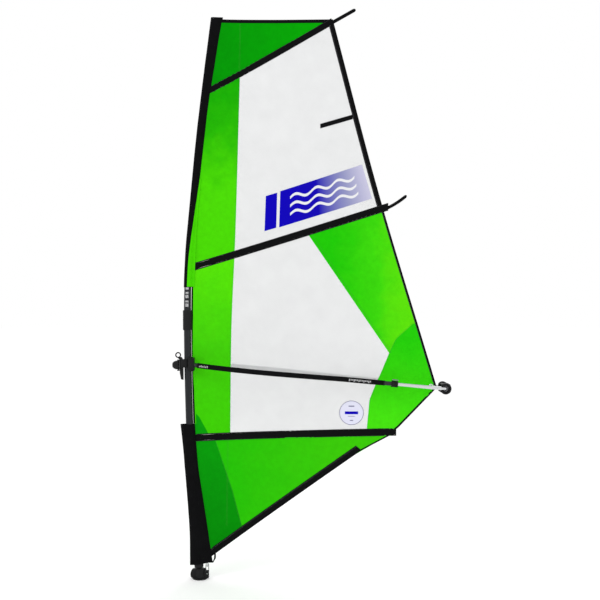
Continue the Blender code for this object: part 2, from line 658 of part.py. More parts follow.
def make_middle_sail():
    low_half, mid_half, leech_seam, clew_low, clew_high = seam_points()
    tape = LEECH_TAPE["lower"]
    # green panel along the mast
    seam = curve_points(WINDOW_EDGE, line_z(LOW_BATTEN, 0.18, low_half), line_z(MID_BATTEN, 0.2, mid_half), 5)
    luff = curve_points(LUFF_HIGH, 0.9740, 1.9400, 6)
    luff[-1] = (luff[-1][0], line_z(MID_BATTEN, luff[-1][0], mid_half))
    left_seam = shifted(seam, -GAP)
    corner = (luff_x(0.94) + 0.0010, line_z(LOW_BATTEN, luff[0][0], low_half))
    luff = [corner] + luff
    panel("luff_panel_lower", [corner, left_seam[0]], [luff[-1], left_seam[-1]], luff, left_seam, "cloth_green", 3, 7)
    # film window
    right = clew_low + leech_seam[1:]
    panel("window_main", [seam[0], right[0]], [seam[-1], right[-1]], seam, right, "film", 8, 8)
    # green leech panel
    meet = leech_meet(MID_BATTEN, mid_half, tape)
    inner = shifted(curve_points(LEECH, clew_high[-1][1], meet[1], 4), -tape)
    panel("leech_panel", clew_high + [inner[0]], [leech_seam[1], inner[-1]],
          [clew_high[0], leech_seam[1]], inner, "cloth_green", 7, 6)
    # clew patch
    lower_inner = shifted(curve_points(LEECH, CLEW[1] + 0.022, clew_high[-1][1], 3), -tape)
    hem = [(1.2411, line_z(LOW_BATTEN, 1.2411, low_half)), (1.4680, 1.1900)]
    right_side = [hem[0], hem[1]] + lower_inner
    left_side = clew_low + clew_high[1:]
    top = [left_side[-1], right_side[-1]]
    bottom = [left_side[0], (1.1800, line_z(LOW_BATTEN, 1.18, low_half)), right_side[0]]
    clew = panel("clew_patch", bottom, top, left_side, right_side, "cloth_green", 6, 8)
    ring_x, ring_z = CLEW_RING
    ring_y = camber(ring_x, ring_z)
    hole, rim = CLEW_RING_RADII
    cut(clew, rod("ring_bore", (ring_x, ring_y - 0.02, ring_z), (ring_x, ring_y + 0.02, ring_z),
                  rim + 0.0004, "steel", 16))
    profile = [(hole, -0.0030), (rim, -0.0030), (rim, 0.0030), (hole, 0.0030)]
    turned("clew_ring", profile, (ring_x, ring_y, ring_z), (0, 1, 0), "steel", 16)
    outer = curve_points(LEECH, CLEW[1] + 0.004, leech_meet(MID_BATTEN, mid_half, 0.0)[1], 5)
    edge = shifted(curve_points(LEECH, CLEW[1] + 0.020, meet[1], 5), -tape)
    panel("leech_tape_lower", [edge[0], outer[0]], [edge[-1], outer[-1]], edge, outer, "webbing_black", 1, 5,
          TAPE)


def make_foot():
    half = half_width("lower") + GAP
    inner = foot_offset(FOOT_LINE, FOOT_TAPE_WIDTH + 2 * SEAM)
    luff = curve_points(BIB_AFT, 0.240, 0.858, 5)
    luff[-1] = (luff[-1][0], line_z(LOW_BATTEN, luff[-1][0], -half))
    foot_at_luff = (luff[0][0] + GAP, luff[0][1])
    seam = [(0.2560, 0.3260), (0.1953, 0.5513), (0.1638, 0.6458), (0.0914, line_z(LOW_BATTEN, 0.0914, -half))]
    along_foot = (inner[2][1] - inner[1][1]) / (inner[2][0] - inner[1][0])

    def foot_z(x):
        return inner[1][1] + along_foot * (x - inner[1][0])
    seam[0] = (seam[0][0], foot_z(seam[0][0]))
    foot_at_luff = (foot_at_luff[0] + 0.009, foot_z(foot_at_luff[0] + 0.009))
    left = [foot_at_luff] + shifted(luff[1:], 4 * SEAM)
    panel("tack_patch_lower", [foot_at_luff, shifted(seam, -GAP * 2)[0]], [left[-1], shifted(seam, -GAP * 2)[-1]],
          left, shifted(seam, -GAP * 2), "cloth_dark_green", 4, 8)
    aft_low = (1.0200, foot_z(1.0200))
    aft_high = (1.1750, line_z(LOW_BATTEN, 1.1750, -half))
    panel("foot_panel", [seam[0], aft_low], [seam[-1], aft_high], seam, [aft_low, aft_high], "cloth_green", 9, 7)
    tape_low = [(0.0990, FOOT_LINE[0][1] + 0.0245), FOOT_LINE[1], (1.0200, FOOT_LINE[2][1] - 0.0182)]
    tape_high = foot_offset(tape_low, FOOT_TAPE_WIDTH)
    tape_high[0] = (tape_low[0][0] - 0.012, tape_high[0][1] + 0.012)
    panel("foot_tape", tape_low, tape_high, [tape_low[0], tape_high[0]], [tape_low[-1], tape_high[-1]],
          "webbing_black", 6, 1, TAPE)


# ---- battens and pockets ------------------------------------------------------------------------------------
def box_ring(bm, x, batten, half, depth, lift=0.0):
    """Four corners of a pocket's or a batten's section at x."""
    made = []
    for side, face in ((-1, -1), (1, -1), (1, 1), (-1, 1)):
        z = line_z(batten, x, side * half)
        middle = camber(x, line_z(batten, x)) + lift
        made.append(bm.verts.new((x, middle + face * depth / 2, z)))
    return made


def pocket(name, batten, kind, x_from, x_to, steps=9):
    """A flat sleeve of webbing, closed at the mast end and open at the leech, with a batten in it."""
    half = half_width(kind)
    bm = bmesh.new()
    stations = [x_from + (x_to - x_from) * k / steps for k in range(steps + 1)]
    outer = [box_ring(bm, x, batten, half, POCKET_DEPTH) for x in stations]
    hollow = [stations[0] + 0.012] + stations[1:]
    inner = [box_ring(bm, x, batten, half - 0.004, POCKET_DEPTH - 2 * POCKET_WALL) for x in hollow]
    skin(bm, outer)
    skin(bm, inner)
    skin(bm, [outer[-1], inner[-1]])
    bm.faces.new(outer[0])
    bm.faces.new(inner[0])
    finish_mesh(name, bm, "webbing_black")
    strip(name.replace("pocket", "batten"), batten, half - 0.0060, BATTEN_DEPTH, 0.0, stations[0] + 0.018,
          stations[-1] - 0.004, steps, "batten")


def strip(name, batten, half, depth, lift, x_from, x_to, steps, finish):
    """A solid flat bar along a batten's line, bent with the sail."""
    bm = bmesh.new()
    rings = []
    for k in range(steps + 1):
        rings.append(box_ring(bm, x_from + (x_to - x_from) * k / steps, batten, half, depth, lift))
    skin(bm, rings)
    bm.faces.new(rings[0])
    bm.faces.new(rings[-1])
    finish_mesh(name, bm, finish)


def make_battens():
    pocket("pocket_top", TOP_BATTEN, "top", 0.0800, 0.7900)
    pocket("pocket_middle", MID_BATTEN, "middle", -0.0370, 1.1600, 12)
    pocket("pocket_lower", LOW_BATTEN, "lower", -0.0150, 1.2360, 12)
    strip("pocket_short", MINI_BATTEN, half_width("short"), 0.0040, -0.0040, MINI_BATTEN[0][0],
          MINI_BATTEN[1][0], 4, "webbing_black")
    for name, start, end, rise, width in (("batten_tail_top", (0.8430, 3.5080), (0.9800, 3.5850), 0.0, 0.024),
                                          ("batten_tail_middle", (1.1690, 2.3290), (1.3020, 2.4130), 0.006,
                                           0.021)):
        bm = bmesh.new()
        rings = []
        length = math.dist(start, end)
        nx, nz = -(end[1] - start[1]) / length, (end[0] - start[0]) / length
        for k in range(5):
            t = k / 4
            x, z = start[0] + (end[0] - start[0]) * t, start[1] + (end[1] - start[1]) * t
            z -= 4 * rise * t * (1 - t)
            y = camber(start[0], start[1])
            rings.append([bm.verts.new((x + nx * width / 2 * a, y + 0.0014 * b, z + nz * width / 2 * a))
                          for a, b in ((-1, -1), (1, -1), (1, 1), (-1, 1))])
        skin(bm, rings)
        bm.faces.new(rings[0])
        bm.faces.new(rings[-1])
        finish_mesh(name, bm, "webbing_black")


# ---- boom ---------------------------------------------------------------------------------------------------
def arm_centres(side, low, high, steps):
    made = []
    for k in range(steps + 1):
        x = low + (high - low) * k / steps
        made.append(Vector((x, side * smooth_value(ARM_HALF, x), boom_z(x))))
    return made


def make_arms():
    for word, side in (("port", 1), ("starboard", -1)):
        curved = arm_centres(side, ARM_FRONT_X, ARM_STRAIGHT_X - 0.015, 9)
        corner = Vector((ARM_STRAIGHT_X, side * TAIL_Y, boom_z(ARM_STRAIGHT_X)))
        centres = curved[:-1] + [corner, Vector((ARM_END_X, side * TAIL_Y, boom_z(ARM_END_X)))]
        tube("boom_arm_" + word, centres, [ARM_RADIUS] * len(centres), "mast_black", 10, ARM_WALL)
        grip = curved[1:-1]
        start = curved[0].lerp(curved[1], 0.25)
        end = Vector((GRIP_END_X, side * TAIL_Y, boom_z(GRIP_END_X)))
        grip = [start] + grip + [corner, end]
        tube("boom_grip_" + word, grip, [GRIP_RADIUS] * len(grip), "foam_black", 10,
             GRIP_RADIUS - ARM_RADIUS - 0.0005)
        axis = Vector((1, 0, BOOM_SLOPE)).normalized()
        start = Vector((TAIL_INNER_X, side * TAIL_Y, boom_z(TAIL_INNER_X)))
        end = Vector((TAIL_OUTER_X, side * TAIL_Y, boom_z(TAIL_OUTER_X)))
        tube("boom_tail_tube_" + word, [start, start.lerp(end, 0.5), end], [TAIL_RADIUS] * 3, "alloy", 12,
             0.0014)
        collar = [Vector((ARM_END_X + GAP * 2, side * TAIL_Y, boom_z(ARM_END_X + GAP * 2)))]
        collar.append(collar[0] + axis * COLLAR_LENGTH)
        tube("tail_lock_collar_" + word, collar, [COLLAR_RADIUS] * 2, "plastic_black", 14,
             COLLAR_RADIUS - TAIL_RADIUS - 0.0008)
        pivot = collar[0] + Vector((0.010, 0, 0))
        top = pivot.z + 0.0215
        lever = [(pivot.x - 0.0030, top + 0.0030), (pivot.x - 0.0012, top + 0.0005),
                 (pivot.x + 0.0300, top - 0.0030), (pivot.x + 0.0370, top - 0.0010),
                 (pivot.x + 0.0340, top + 0.0030), (pivot.x, top + 0.0068), (pivot.x - 0.0024, top + 0.0055)]
        prism("tail_lock_lever_" + word, lever, side * TAIL_Y - 0.009, side * TAIL_Y + 0.009, "y", "plastic_grey")


def make_boom_end():
    middle = boom_z(1.540)
    outline = [(1.5050, 0.0550), (1.5050, 0.0920)] + arc((1.543, 0.064), 0.028, 90, 0, 4)
    outline += [(x, -y) for x, y in reversed(outline)]
    outline += [(1.5200, -0.0500), (1.5200, 0.0500)]
    low, high = middle - FITTING_HALF, middle + FITTING_HALF
    pin_x, pin_y = OUTHAUL_PIN
    end = prism("boom_end_fitting", outline, low, high, "z", "plastic_black", 0.004)
    for word, side in (("port", 1), ("starboard", -1)):
        centre = side * pin_y
        slot = [(1.5000, centre - 0.0150), (1.5460, centre - 0.0150), (1.5460, centre + 0.0150),
                (1.5000, centre + 0.0150)]
        cut(end, prism("slot_" + word, slot, middle - 0.0040, middle + 0.0040, "z", "plastic_black"))
        cut(end, rod("pin_bore_" + word, (pin_x, centre, low - 0.01), (pin_x, centre, high + 0.01),
                     BORE_RADIUS, "steel"))
        roller = [(0.0, -0.0180), (AXLE_RADIUS, -0.0180), (AXLE_RADIUS, -0.0033), (0.0115, -0.0033),
                  (OUTHAUL_GROOVE, 0.0), (0.0115, 0.0033), (AXLE_RADIUS, 0.0033), (AXLE_RADIUS, 0.0180), (0.0, 0.0180)]
        solid_turned("outhaul_sheave_" + word, roller, (pin_x, centre, middle), (0, 0, 1), "plastic_grey", 16)


def make_outhaul():
    middle = boom_z(1.540)
    reach = OUTHAUL_GROOVE + LINE_RADIUS + 0.0014
    ring_x, ring_z = CLEW_RING
    ring_y = camber(ring_x, ring_z)
    half = [(1.2450, 0.0580, boom_z(1.245)), (1.3300, 0.0575, boom_z(1.33)), (1.4200, 0.0560, boom_z(1.42)),
            (1.4650, 0.0510, boom_z(1.465)), (1.5000, 0.0420, boom_z(1.50))]
    for k in range(7):
        angle = math.radians(75 - 150 * k / 6)
        half.append((OUTHAUL_PIN[0] + reach * math.cos(angle), OUTHAUL_PIN[1] + reach * math.sin(angle), middle))
    half += [(1.5180, 0.0185, middle), (1.4960, 0.0160, middle + 0.001), (1.4760, 0.0130, middle + 0.004),
             (1.4600, ring_y + 0.0060, ring_z - 0.0010)]
    route = half + [(ring_x, ring_y, ring_z)] + [(x, 2 * ring_y - y if k == 0 else -y, z)
                                                 for k, (x, y, z) in enumerate(reversed(half))]
    cord("outhaul_line", route, LINE_RADIUS, "line_black")


def make_boom_head():
    x0, z0 = mast_x(HEAD_CENTRE_Z), HEAD_CENTRE_Z
    hinge = (x0 - 0.0010, 0.0480)
    slot = [(-0.0503, -0.0065), (-0.0200, -0.0065), (-0.0200, 0.0065), (-0.0503, 0.0065)]
    clear = 0.0244
    outline = [(-0.0320, -0.0720), (-0.0320, 0.0720), (-0.0620, 0.0720)]
    outline += arc(hinge, 0.0082, 75, 255, 6)
    outline += [(x0 + 0.0010, 0.0395), (x0 + 0.0010, -0.0400), (-0.0640, -0.0440), (-0.0640, -0.0720)]
    body = prism("boom_head_body", outline, z0 - 0.045, z0 + 0.038, "z", "plastic_black", 0.002)
    bore = rod("mast_bore", (mast_x(z0 - 0.06), 0, z0 - 0.06), (mast_x(z0 + 0.06), 0, z0 + 0.06), clear,
               "plastic_black", 20)
    cut(body, bore)
    cut(body, prism("sail_slot", slot, z0 - 0.06, z0 + 0.06, "z", "plastic_black"))
    notch = [(x0 - 0.0200, 0.0300), (x0 + 0.0105, 0.0385), (x0 + 0.0105, 0.0585), (x0 - 0.0200, 0.0585)]
    cut(body, prism("knuckle_notch", notch, z0 - 0.0256, z0 + 0.0256, "z", "plastic_black"))
    cut(body, rod("hinge_bore", (*hinge, z0 - 0.06), (*hinge, z0 + 0.06), 0.0029, "steel"))
    jaw_outline = [(x0 - 0.0012, -0.0400), (x0 - 0.0012, 0.0395)] + arc(hinge, 0.0078, -60, 150, 7)
    jaw_outline += [(x0 - 0.0300, 0.0440), (x0 - 0.0480, 0.0300), (x0 - 0.0520, 0.0), (x0 - 0.0480, -0.0300),
                    (x0 - 0.0300, -0.0400)]
    jaw = prism("boom_head_jaw", jaw_outline, z0 - 0.0250, z0 + 0.0250, "z", "plastic_black", 0.002)
    cut(jaw, bore)
    cut(jaw, rod("jaw_bore", (*hinge, z0 - 0.06), (*hinge, z0 + 0.06), 0.0029, "steel"))
    rod("jaw_hinge_pin", (*hinge, z0 - 0.0440), (*hinge, z0 + 0.0370), 0.0026, "steel", 10)
    pivot = (x0 - 0.0590, -0.0270)
    lever = [(x0 - 0.0535, 0.0330), (x0 - 0.0545, -0.0230)] + arc(pivot, 0.0052, 30, -120, 4)
    lever += [(x0 - 0.0800, -0.0220), (x0 - 0.0960, -0.0100), (x0 - 0.0994, 0.0), (x0 - 0.0960, 0.0100),
              (x0 - 0.0780, 0.0240), (x0 - 0.0640, 0.0400), (x0 - 0.0560, 0.0400)]
    prism("boom_head_lever", lever, z0 - 0.0400, z0 + 0.0185, "z", "plastic_black", 0.002)
    lip = [(x0 - 0.0290, z0 - 0.0200), (x0 - 0.0500, z0 - 0.0200), (x0 - 0.0500, z0 - 0.0600),
           (x0 - 0.0420, z0 - 0.1000), (x0 - 0.0290, z0 - 0.1040)]
    merge(jaw, prism("head_apron", lip, -0.0160, 0.0160, "y", "plastic_black"))
    bracket = [(x0 - 0.0280, z0 + 0.0200), (x0 - 0.0510, z0 + 0.0200), (x0 - 0.0660, z0 + 0.0365),
               (x0 - 0.0580, z0 + 0.0385), (x0 - 0.0400, z0 + 0.0400)]
    merge(jaw, prism("eye_bracket", bracket, -0.0060, 0.0060, "y", "plastic_black"))
    ring_profile = []
    for k in range(8):
        angle = 2 * math.pi * k / 8
        ring_profile.append((0.0150 + 0.0040 * math.cos(angle), 0.0040 * math.sin(angle)))
    merge(jaw, turned("uphaul_eye", ring_profile, (x0 - 0.0620, 0, z0 + 0.0520), (0, 1, 0), "plastic_black", 16))


# ---- build --------------------------------------------------------------------------------------------------
for old in list(bpy.data.objects):
    bpy.data.objects.remove(old)
make_mast()
make_extension()
make_base()
make_downhaul()
make_sleeves()
make_upper_sail()
make_middle_sail()
make_foot()
make_battens()
make_arms()
make_boom_end()
make_outhaul()
make_boom_head()
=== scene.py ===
"""Looks of a windsurf sail rig: curved mast, panelled sail, bowed boom and pulley base.

Every length is in metres. X runs aft to the clew, Y through the sail and Z up the mast.
"""
import math

import bmesh
import bpy
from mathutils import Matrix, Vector, noise


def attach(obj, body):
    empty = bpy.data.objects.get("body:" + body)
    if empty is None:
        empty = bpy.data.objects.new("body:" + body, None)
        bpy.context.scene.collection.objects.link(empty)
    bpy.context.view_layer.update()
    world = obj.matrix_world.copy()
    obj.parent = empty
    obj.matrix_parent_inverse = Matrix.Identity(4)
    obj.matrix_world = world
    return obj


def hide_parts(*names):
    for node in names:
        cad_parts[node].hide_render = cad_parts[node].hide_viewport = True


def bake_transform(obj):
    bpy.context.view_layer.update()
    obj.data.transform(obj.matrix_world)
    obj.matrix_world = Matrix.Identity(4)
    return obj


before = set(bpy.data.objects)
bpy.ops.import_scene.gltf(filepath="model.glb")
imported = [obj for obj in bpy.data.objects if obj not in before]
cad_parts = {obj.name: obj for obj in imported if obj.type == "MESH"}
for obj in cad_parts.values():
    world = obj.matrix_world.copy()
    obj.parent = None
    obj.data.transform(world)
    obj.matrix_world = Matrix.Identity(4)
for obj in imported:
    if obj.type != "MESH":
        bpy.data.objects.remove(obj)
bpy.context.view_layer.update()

# ---- Camera, light and floor ---------------------------------------------------------------------
# A level camera square to the sail, a wide white floor in a white room, and large soft lamps.
CAMERA_AWAY = 6.51
SAIL_MIDDLE = (0.63, 1.7545)
camera = bpy.data.objects.new("camera", bpy.data.cameras.new("camera"))
camera.data.lens = 62.0
camera.data.sensor_width = 36.0
camera.location = (SAIL_MIDDLE[0], -CAMERA_AWAY, SAIL_MIDDLE[1])
camera.rotation_euler = (math.radians(90), 0, 0)
bpy.context.scene.collection.objects.link(camera)
bpy.context.scene.camera = camera
bpy.context.scene.view_settings.view_transform = "Standard"

world = bpy.data.worlds.new("studio")
world.use_nodes = True
world.node_tree.nodes["Background"].inputs["Color"].default_value = (1.0, 1.0, 1.0, 1.0)
world.node_tree.nodes["Background"].inputs["Strength"].default_value = 1.0
bpy.context.scene.world = world


def lamp(name, place, aim, size, power):
    """A square soft lamp at place, turned to aim."""
    data = bpy.data.lights.new(name, "AREA")
    data.size = size
    data.energy = power
    made = bpy.data.objects.new(name, data)
    made.location = place
    made.rotation_euler = (Vector(aim) - Vector(place)).to_track_quat("-Z", "Y").to_euler()
    bpy.context.scene.collection.objects.link(made)


lamp("key_lamp", (-2.6, -4.6, 4.6), (0.6, 0, 1.7), 2.4, 42)
lamp("fill_lamp", (4.2, -4.4, 2.2), (0.6, 0, 1.7), 3.0, 16)
lamp("back_lamp", (1.5, 3.4, 4.4), (0.6, 0, 1.9), 2.4, 40)


def new_material(name, colour, roughness, metallic=0.0, sheen=0.0, gloss=0.5):
    """A Principled material with its plain values on its sockets."""
    made = bpy.data.materials.new(name)
    made.use_nodes = True
    shader = made.node_tree.nodes["Principled BSDF"]
    shader.inputs["Base Color"].default_value = (*colour, 1.0)
    shader.inputs["Roughness"].default_value = roughness
    shader.inputs["Metallic"].default_value = metallic
    shader.inputs["Sheen Weight"].default_value = sheen
    shader.inputs["Specular IOR Level"].default_value = gloss
    return made, made.node_tree, shader


floor_white, _, floor_shader = new_material("studio_floor", (0.93, 0.93, 0.93), 0.9, gloss=0.0)
floor_shader.inputs["Emission Color"].default_value = (1.0, 1.0, 1.0, 1.0)
floor_shader.inputs["Emission Strength"].default_value = 0.10
floor_mesh = bmesh.new()
bmesh.ops.create_circle(floor_mesh, cap_ends=True, segments=64, radius=60.0)
bmesh.ops.translate(floor_mesh, vec=(0, 0, -0.0015), verts=floor_mesh.verts)
floor_data = bpy.data.meshes.new("studio_floor")
floor_mesh.to_mesh(floor_data)
floor_mesh.free()
floor_data.materials.append(floor_white)
studio_floor = bpy.data.objects.new("studio_floor", floor_data)
bpy.context.scene.collection.objects.link(studio_floor)


# ---- Outhaul and downhaul lines ------------------------------------------------------------------
# Two thin braided polyester lines, both held tight from end to end. The outhaul runs from one tail lock
# through a sheave, the clew ring and the other sheave to the other lock. The downhaul zigzags between the
# tack block and the mast base, and ends in the base's jam cleat.
LINE_RADIUS = 0.0015
BOOM_SLOPE = -0.0936
BOOM_AT = (-0.063, 1.3514)
CLEW_RING = (1.4560, 1.2120)
MAST_AXIS = [(0.0, 0.0), (0.55, -0.0437), (1.0, -0.0665), (1.66, -0.079), (2.03, -0.070), (2.26, -0.052),
             (2.86, 0.004), (3.56, 0.0875)]          # (height, x)
SLEEVE_TOP_OF_BIB = 0.973
BIB_AFT = [(0.108, 0.078), (0.30, 0.049), (0.52, 0.016), (0.70, -0.012), (0.973, -0.0335)]
LUFF_HIGH = [(0.95, -0.0335), (1.40, -0.0485), (1.83, -0.045), (2.26, -0.026), (2.71, 0.0189), (3.01, 0.0567),
             (3.24, 0.0945), (3.40, 0.121), (3.56, 0.148)]
LEECH = [(0.90, 1.575), (1.2002, 1.4931), (2.4098, 1.131), (3.5186, 0.838)]       # (height, x)
CLEW = (1.4931, 1.2002)
BELLY = 0.045


def smooth_value(points, at):
    """Value of the smooth curve through (at, value) points: cubic Hermite pieces with averaged slopes."""
    count = len(points)
    slopes = []
    for i in range(count):
        low, high = max(i - 1, 0), min(i + 1, count - 1)
        slopes.append((points[high][1] - points[low][1]) / (points[high][0] - points[low][0]))
    i = 0
    while i < count - 2 and at > points[i + 1][0]:
        i += 1
    (a, va), (b, vb) = points[i], points[i + 1]
    step = b - a
    t = (at - a) / step
    if t < 0.0:
        return va + slopes[i] * (at - a)
    if t > 1.0:
        return vb + slopes[i + 1] * (at - b)
    return ((2 * t ** 3 - 3 * t ** 2 + 1) * va + (t ** 3 - 2 * t ** 2 + t) * step * slopes[i]
            + (3 * t ** 2 - 2 * t ** 3) * vb + (t ** 3 - t ** 2) * step * slopes[i + 1])


def mast_x(z):
    return smooth_value(MAST_AXIS, z)


def luff_x(z):
    """Front edge of the flat sail, just behind the mast or its sleeve."""
    return smooth_value(BIB_AFT if z < SLEEVE_TOP_OF_BIB else LUFF_HIGH, z)


def leech_x(z):
    return smooth_value(LEECH, z)


def camber(x, z):
    """How far the sail bellies to +Y."""
    front = luff_x(z)
    chord = leech_x(max(z, CLEW[1])) - front
    part = min(max((x - front) / chord, 0.0), 1.0) ** 0.75
    depth = BELLY * (1.0 - ((z - 1.30) / 2.60) ** 2)
    return 4.0 * depth * part * (1.0 - part)


def boom_z(x):
    return BOOM_AT[1] + BOOM_SLOPE * (x - BOOM_AT[0])


def add_node(tree, kind, **values):
    """A shader node with values on its inputs, named with spaces written as underscores."""
    made = tree.nodes.new(kind)
    for key, value in values.items():
        made.inputs[key.replace("_", " ")].default_value = value
    return made


def object_place(tree, *scale):
    """Object coordinates, stretched by scale."""
    place = tree.nodes.new("ShaderNodeTexCoord")
    mapping = add_node(tree, "ShaderNodeMapping", Scale=scale or (1.0, 1.0, 1.0))
    tree.links.new(place.outputs["Object"], mapping.inputs["Vector"])
    return mapping.outputs["Vector"]


def noise_field(tree, vector, scale, detail=3.0):
    made = add_node(tree, "ShaderNodeTexNoise", Scale=scale, Detail=detail)
    tree.links.new(vector, made.inputs["Vector"])
    return made.outputs["Fac"]


def math_node(tree, operation, first, second=None):
    made = tree.nodes.new("ShaderNodeMath")
    made.operation = operation
    for socket, value in zip(made.inputs, (first, second)):
        if value is None:
            continue
        if isinstance(value, (int, float)):
            socket.default_value = value
        else:
            tree.links.new(value, socket)
    return made.outputs["Value"]


def two_tone(tree, shader, factor, dark, light):
    """Mix the base colour between dark and light by factor."""
    mix = tree.nodes.new("ShaderNodeMix")
    mix.data_type = "RGBA"
    tree.links.new(factor, mix.inputs["Factor"])
    mix.inputs[6].default_value = (*dark, 1.0)
    mix.inputs[7].default_value = (*light, 1.0)
    tree.links.new(mix.outputs[2], shader.inputs["Base Color"])


def relief(tree, shader, height, strength, distance):
    bump = add_node(tree, "ShaderNodeBump", Strength=strength, Distance=distance)
    tree.links.new(height, bump.inputs["Height"])
    tree.links.new(bump.outputs["Normal"], shader.inputs["Normal"])


def rough_range(tree, shader, factor, low, high):
    """Let factor, from 0 to 1, move the roughness from low to high."""
    spread = math_node(tree, "MULTIPLY", factor, high - low)
    tree.links.new(math_node(tree, "ADD", spread, low), shader.inputs["Roughness"])


def mottled(name, colour, roughness, dark, light, field, rough=None, bump=None, stretch=(1.0, 1.0, 1.0),
            **finish):
    """A finish mottled from dark to light by a noise field of (scale, detail). rough is the span of its
    roughness, and bump is a finer field's (scale, detail, strength, distance)."""
    made, tree, shader = new_material(name, colour, roughness, **finish)
    place = object_place(tree, *stretch)
    factor = noise_field(tree, place, *field)
    two_tone(tree, shader, factor, dark, light)
    if rough:
        rough_range(tree, shader, factor, *rough)
    if bump:
        relief(tree, shader, noise_field(tree, place, *bump[:2]), *bump[2:])
    return made


def uv_parts(tree):
    place = tree.nodes.new("ShaderNodeUVMap")
    place.uv_map = "UVMap"
    split = tree.nodes.new("ShaderNodeSeparateXYZ")
    tree.links.new(place.outputs["UV"], split.inputs["Vector"])
    return split.outputs["X"], split.outputs["Y"]


def braid_material(name, dark, light, pitch):
    """Braided line: two crossing spirals of strands, with paler flecks."""
    made, tree, shader = new_material(name, dark, 0.75, sheen=0.3)
    length, turn = uv_parts(tree)
    rise = math_node(tree, "MULTIPLY", length, 2 * math.pi / pitch)
    spin = math_node(tree, "MULTIPLY", turn, 8 * math.pi)
    one = math_node(tree, "SINE", math_node(tree, "ADD", rise, spin))
    two = math_node(tree, "SINE", math_node(tree, "SUBTRACT", rise, spin))
    weave = math_node(tree, "MAXIMUM", one, two)
    share = math_node(tree, "MULTIPLY", math_node(tree, "ADD", weave, 1.0), 0.5)
    two_tone(tree, shader, share, dark, light)
    relief(tree, shader, weave, 0.6, 0.0006)
    return made


def ride_as(piece, body, nodes=()):
    """A piece's body, and the nodes it stands for, which are hidden."""
    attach(piece, body)
    if nodes:
        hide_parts(*nodes)
    return piece


def mesh_object(name, bm, material, sharp=40.0, outward=True):
    if outward:
        bmesh.ops.recalc_face_normals(bm, faces=bm.faces)
    mesh = bpy.data.meshes.new(name)
    bm.to_mesh(mesh)
    bm.free()
    mesh.materials.append(material)
    mesh.shade_smooth()
    mesh.set_sharp_from_angle(angle=math.radians(sharp))
    made = bpy.data.objects.new(name, mesh)
    bpy.context.scene.collection.objects.link(made)
    return made


def skin(bm, rings, layer=None, marks=None):
    """Join rings of vertices with quads. marks gives each ring's distance along, for the UV map."""
    count = len(rings[0])
    for i, (low, high) in enumerate(zip(rings, rings[1:])):
        for k in range(count):
            j = (k + 1) % count
            face = bm.faces.new((low[k], low[j], high[j], high[k]))
            if layer is not None:
                corners = ((marks[i], k), (marks[i], k + 1), (marks[i + 1], k + 1), (marks[i + 1], k))
                for loop, (far, around) in zip(face.loops, corners):
                    loop[layer].uv = (far, around / count)


def cap_ends(bm, rings):
    """Close the two open ends of a skin."""
    bm.faces.new(rings[0])
    bm.faces.new(rings[-1])


def fill_grid(bm, grid):
    """Quads between rows of vertices, in order."""
    return [bm.faces.new((low[i], low[i + 1], high[i + 1], high[i]))
            for low, high in zip(grid, grid[1:]) for i in range(len(low) - 1)]


def rim_of(grid):
    """The vertices round the outside of a grid."""
    rim = grid[0][:-1] + [row[-1] for row in grid[:-1]] + grid[-1][:0:-1]
    return rim + [row[0] for row in grid[:0:-1]]


def swept(name, centres, radii, material, sides=24, wall=None):
    """A rod or, with a wall, an open tube along centres; U is metres along and V is once around."""
    bm = bmesh.new()
    layer = bm.loops.layers.uv.new("UVMap")
    marks = [0.0]
    for a, b in zip(centres, centres[1:]):
        marks.append(marks[-1] + (b - a).length)
    skins = []
    for less in ([0.0] if wall is None else [0.0, wall]):
        rings = []
        across = None
        for i, centre in enumerate(centres):
            ahead = (centres[min(i + 1, len(centres) - 1)] - centres[max(i - 1, 0)]).normalized()
            if across is None:
                across = ahead.orthogonal().normalized()
            across = (across - ahead * across.dot(ahead)).normalized()
            up = ahead.cross(across)
            rings.append([bm.verts.new(centre + (radii[i] - less) * (math.cos(t) * across + math.sin(t) * up))
                          for t in (2 * math.pi * k / sides for k in range(sides))])
        skin(bm, rings, layer, marks)
        skins.append(rings)
    if wall is None:
        cap_ends(bm, skins[0])
    else:
        skin(bm, [skins[0][0], skins[1][0]])
        skin(bm, [skins[0][-1], skins[1][-1]])
    return mesh_object(name, bm, material)


def rounded_route(points, step):
    """Points every step along a smooth curve through points."""
    points = [Vector(p) for p in points]
    made = []
    for i in range(len(points) - 1):
        a, b = points[i], points[i + 1]
        before, after = points[max(i - 1, 0)], points[min(i + 2, len(points) - 1)]
        count = max(1, round((b - a).length / step))
        for k in range(count):
            t = k / count
            out_a = (b - before) * 0.5 * min(1.0, (b - a).length / max((a - before).length, 1e-6) + 0.2)
            out_b = (after - a) * 0.5 * min(1.0, (b - a).length / max((after - b).length, 1e-6) + 0.2)
            made.append((2 * t ** 3 - 3 * t ** 2 + 1) * a + (t ** 3 - 2 * t ** 2 + t) * out_a
                        + (3 * t ** 2 - 2 * t ** 3) * b + (t ** 3 - t ** 2) * out_b)
    return made + [points[-1]]


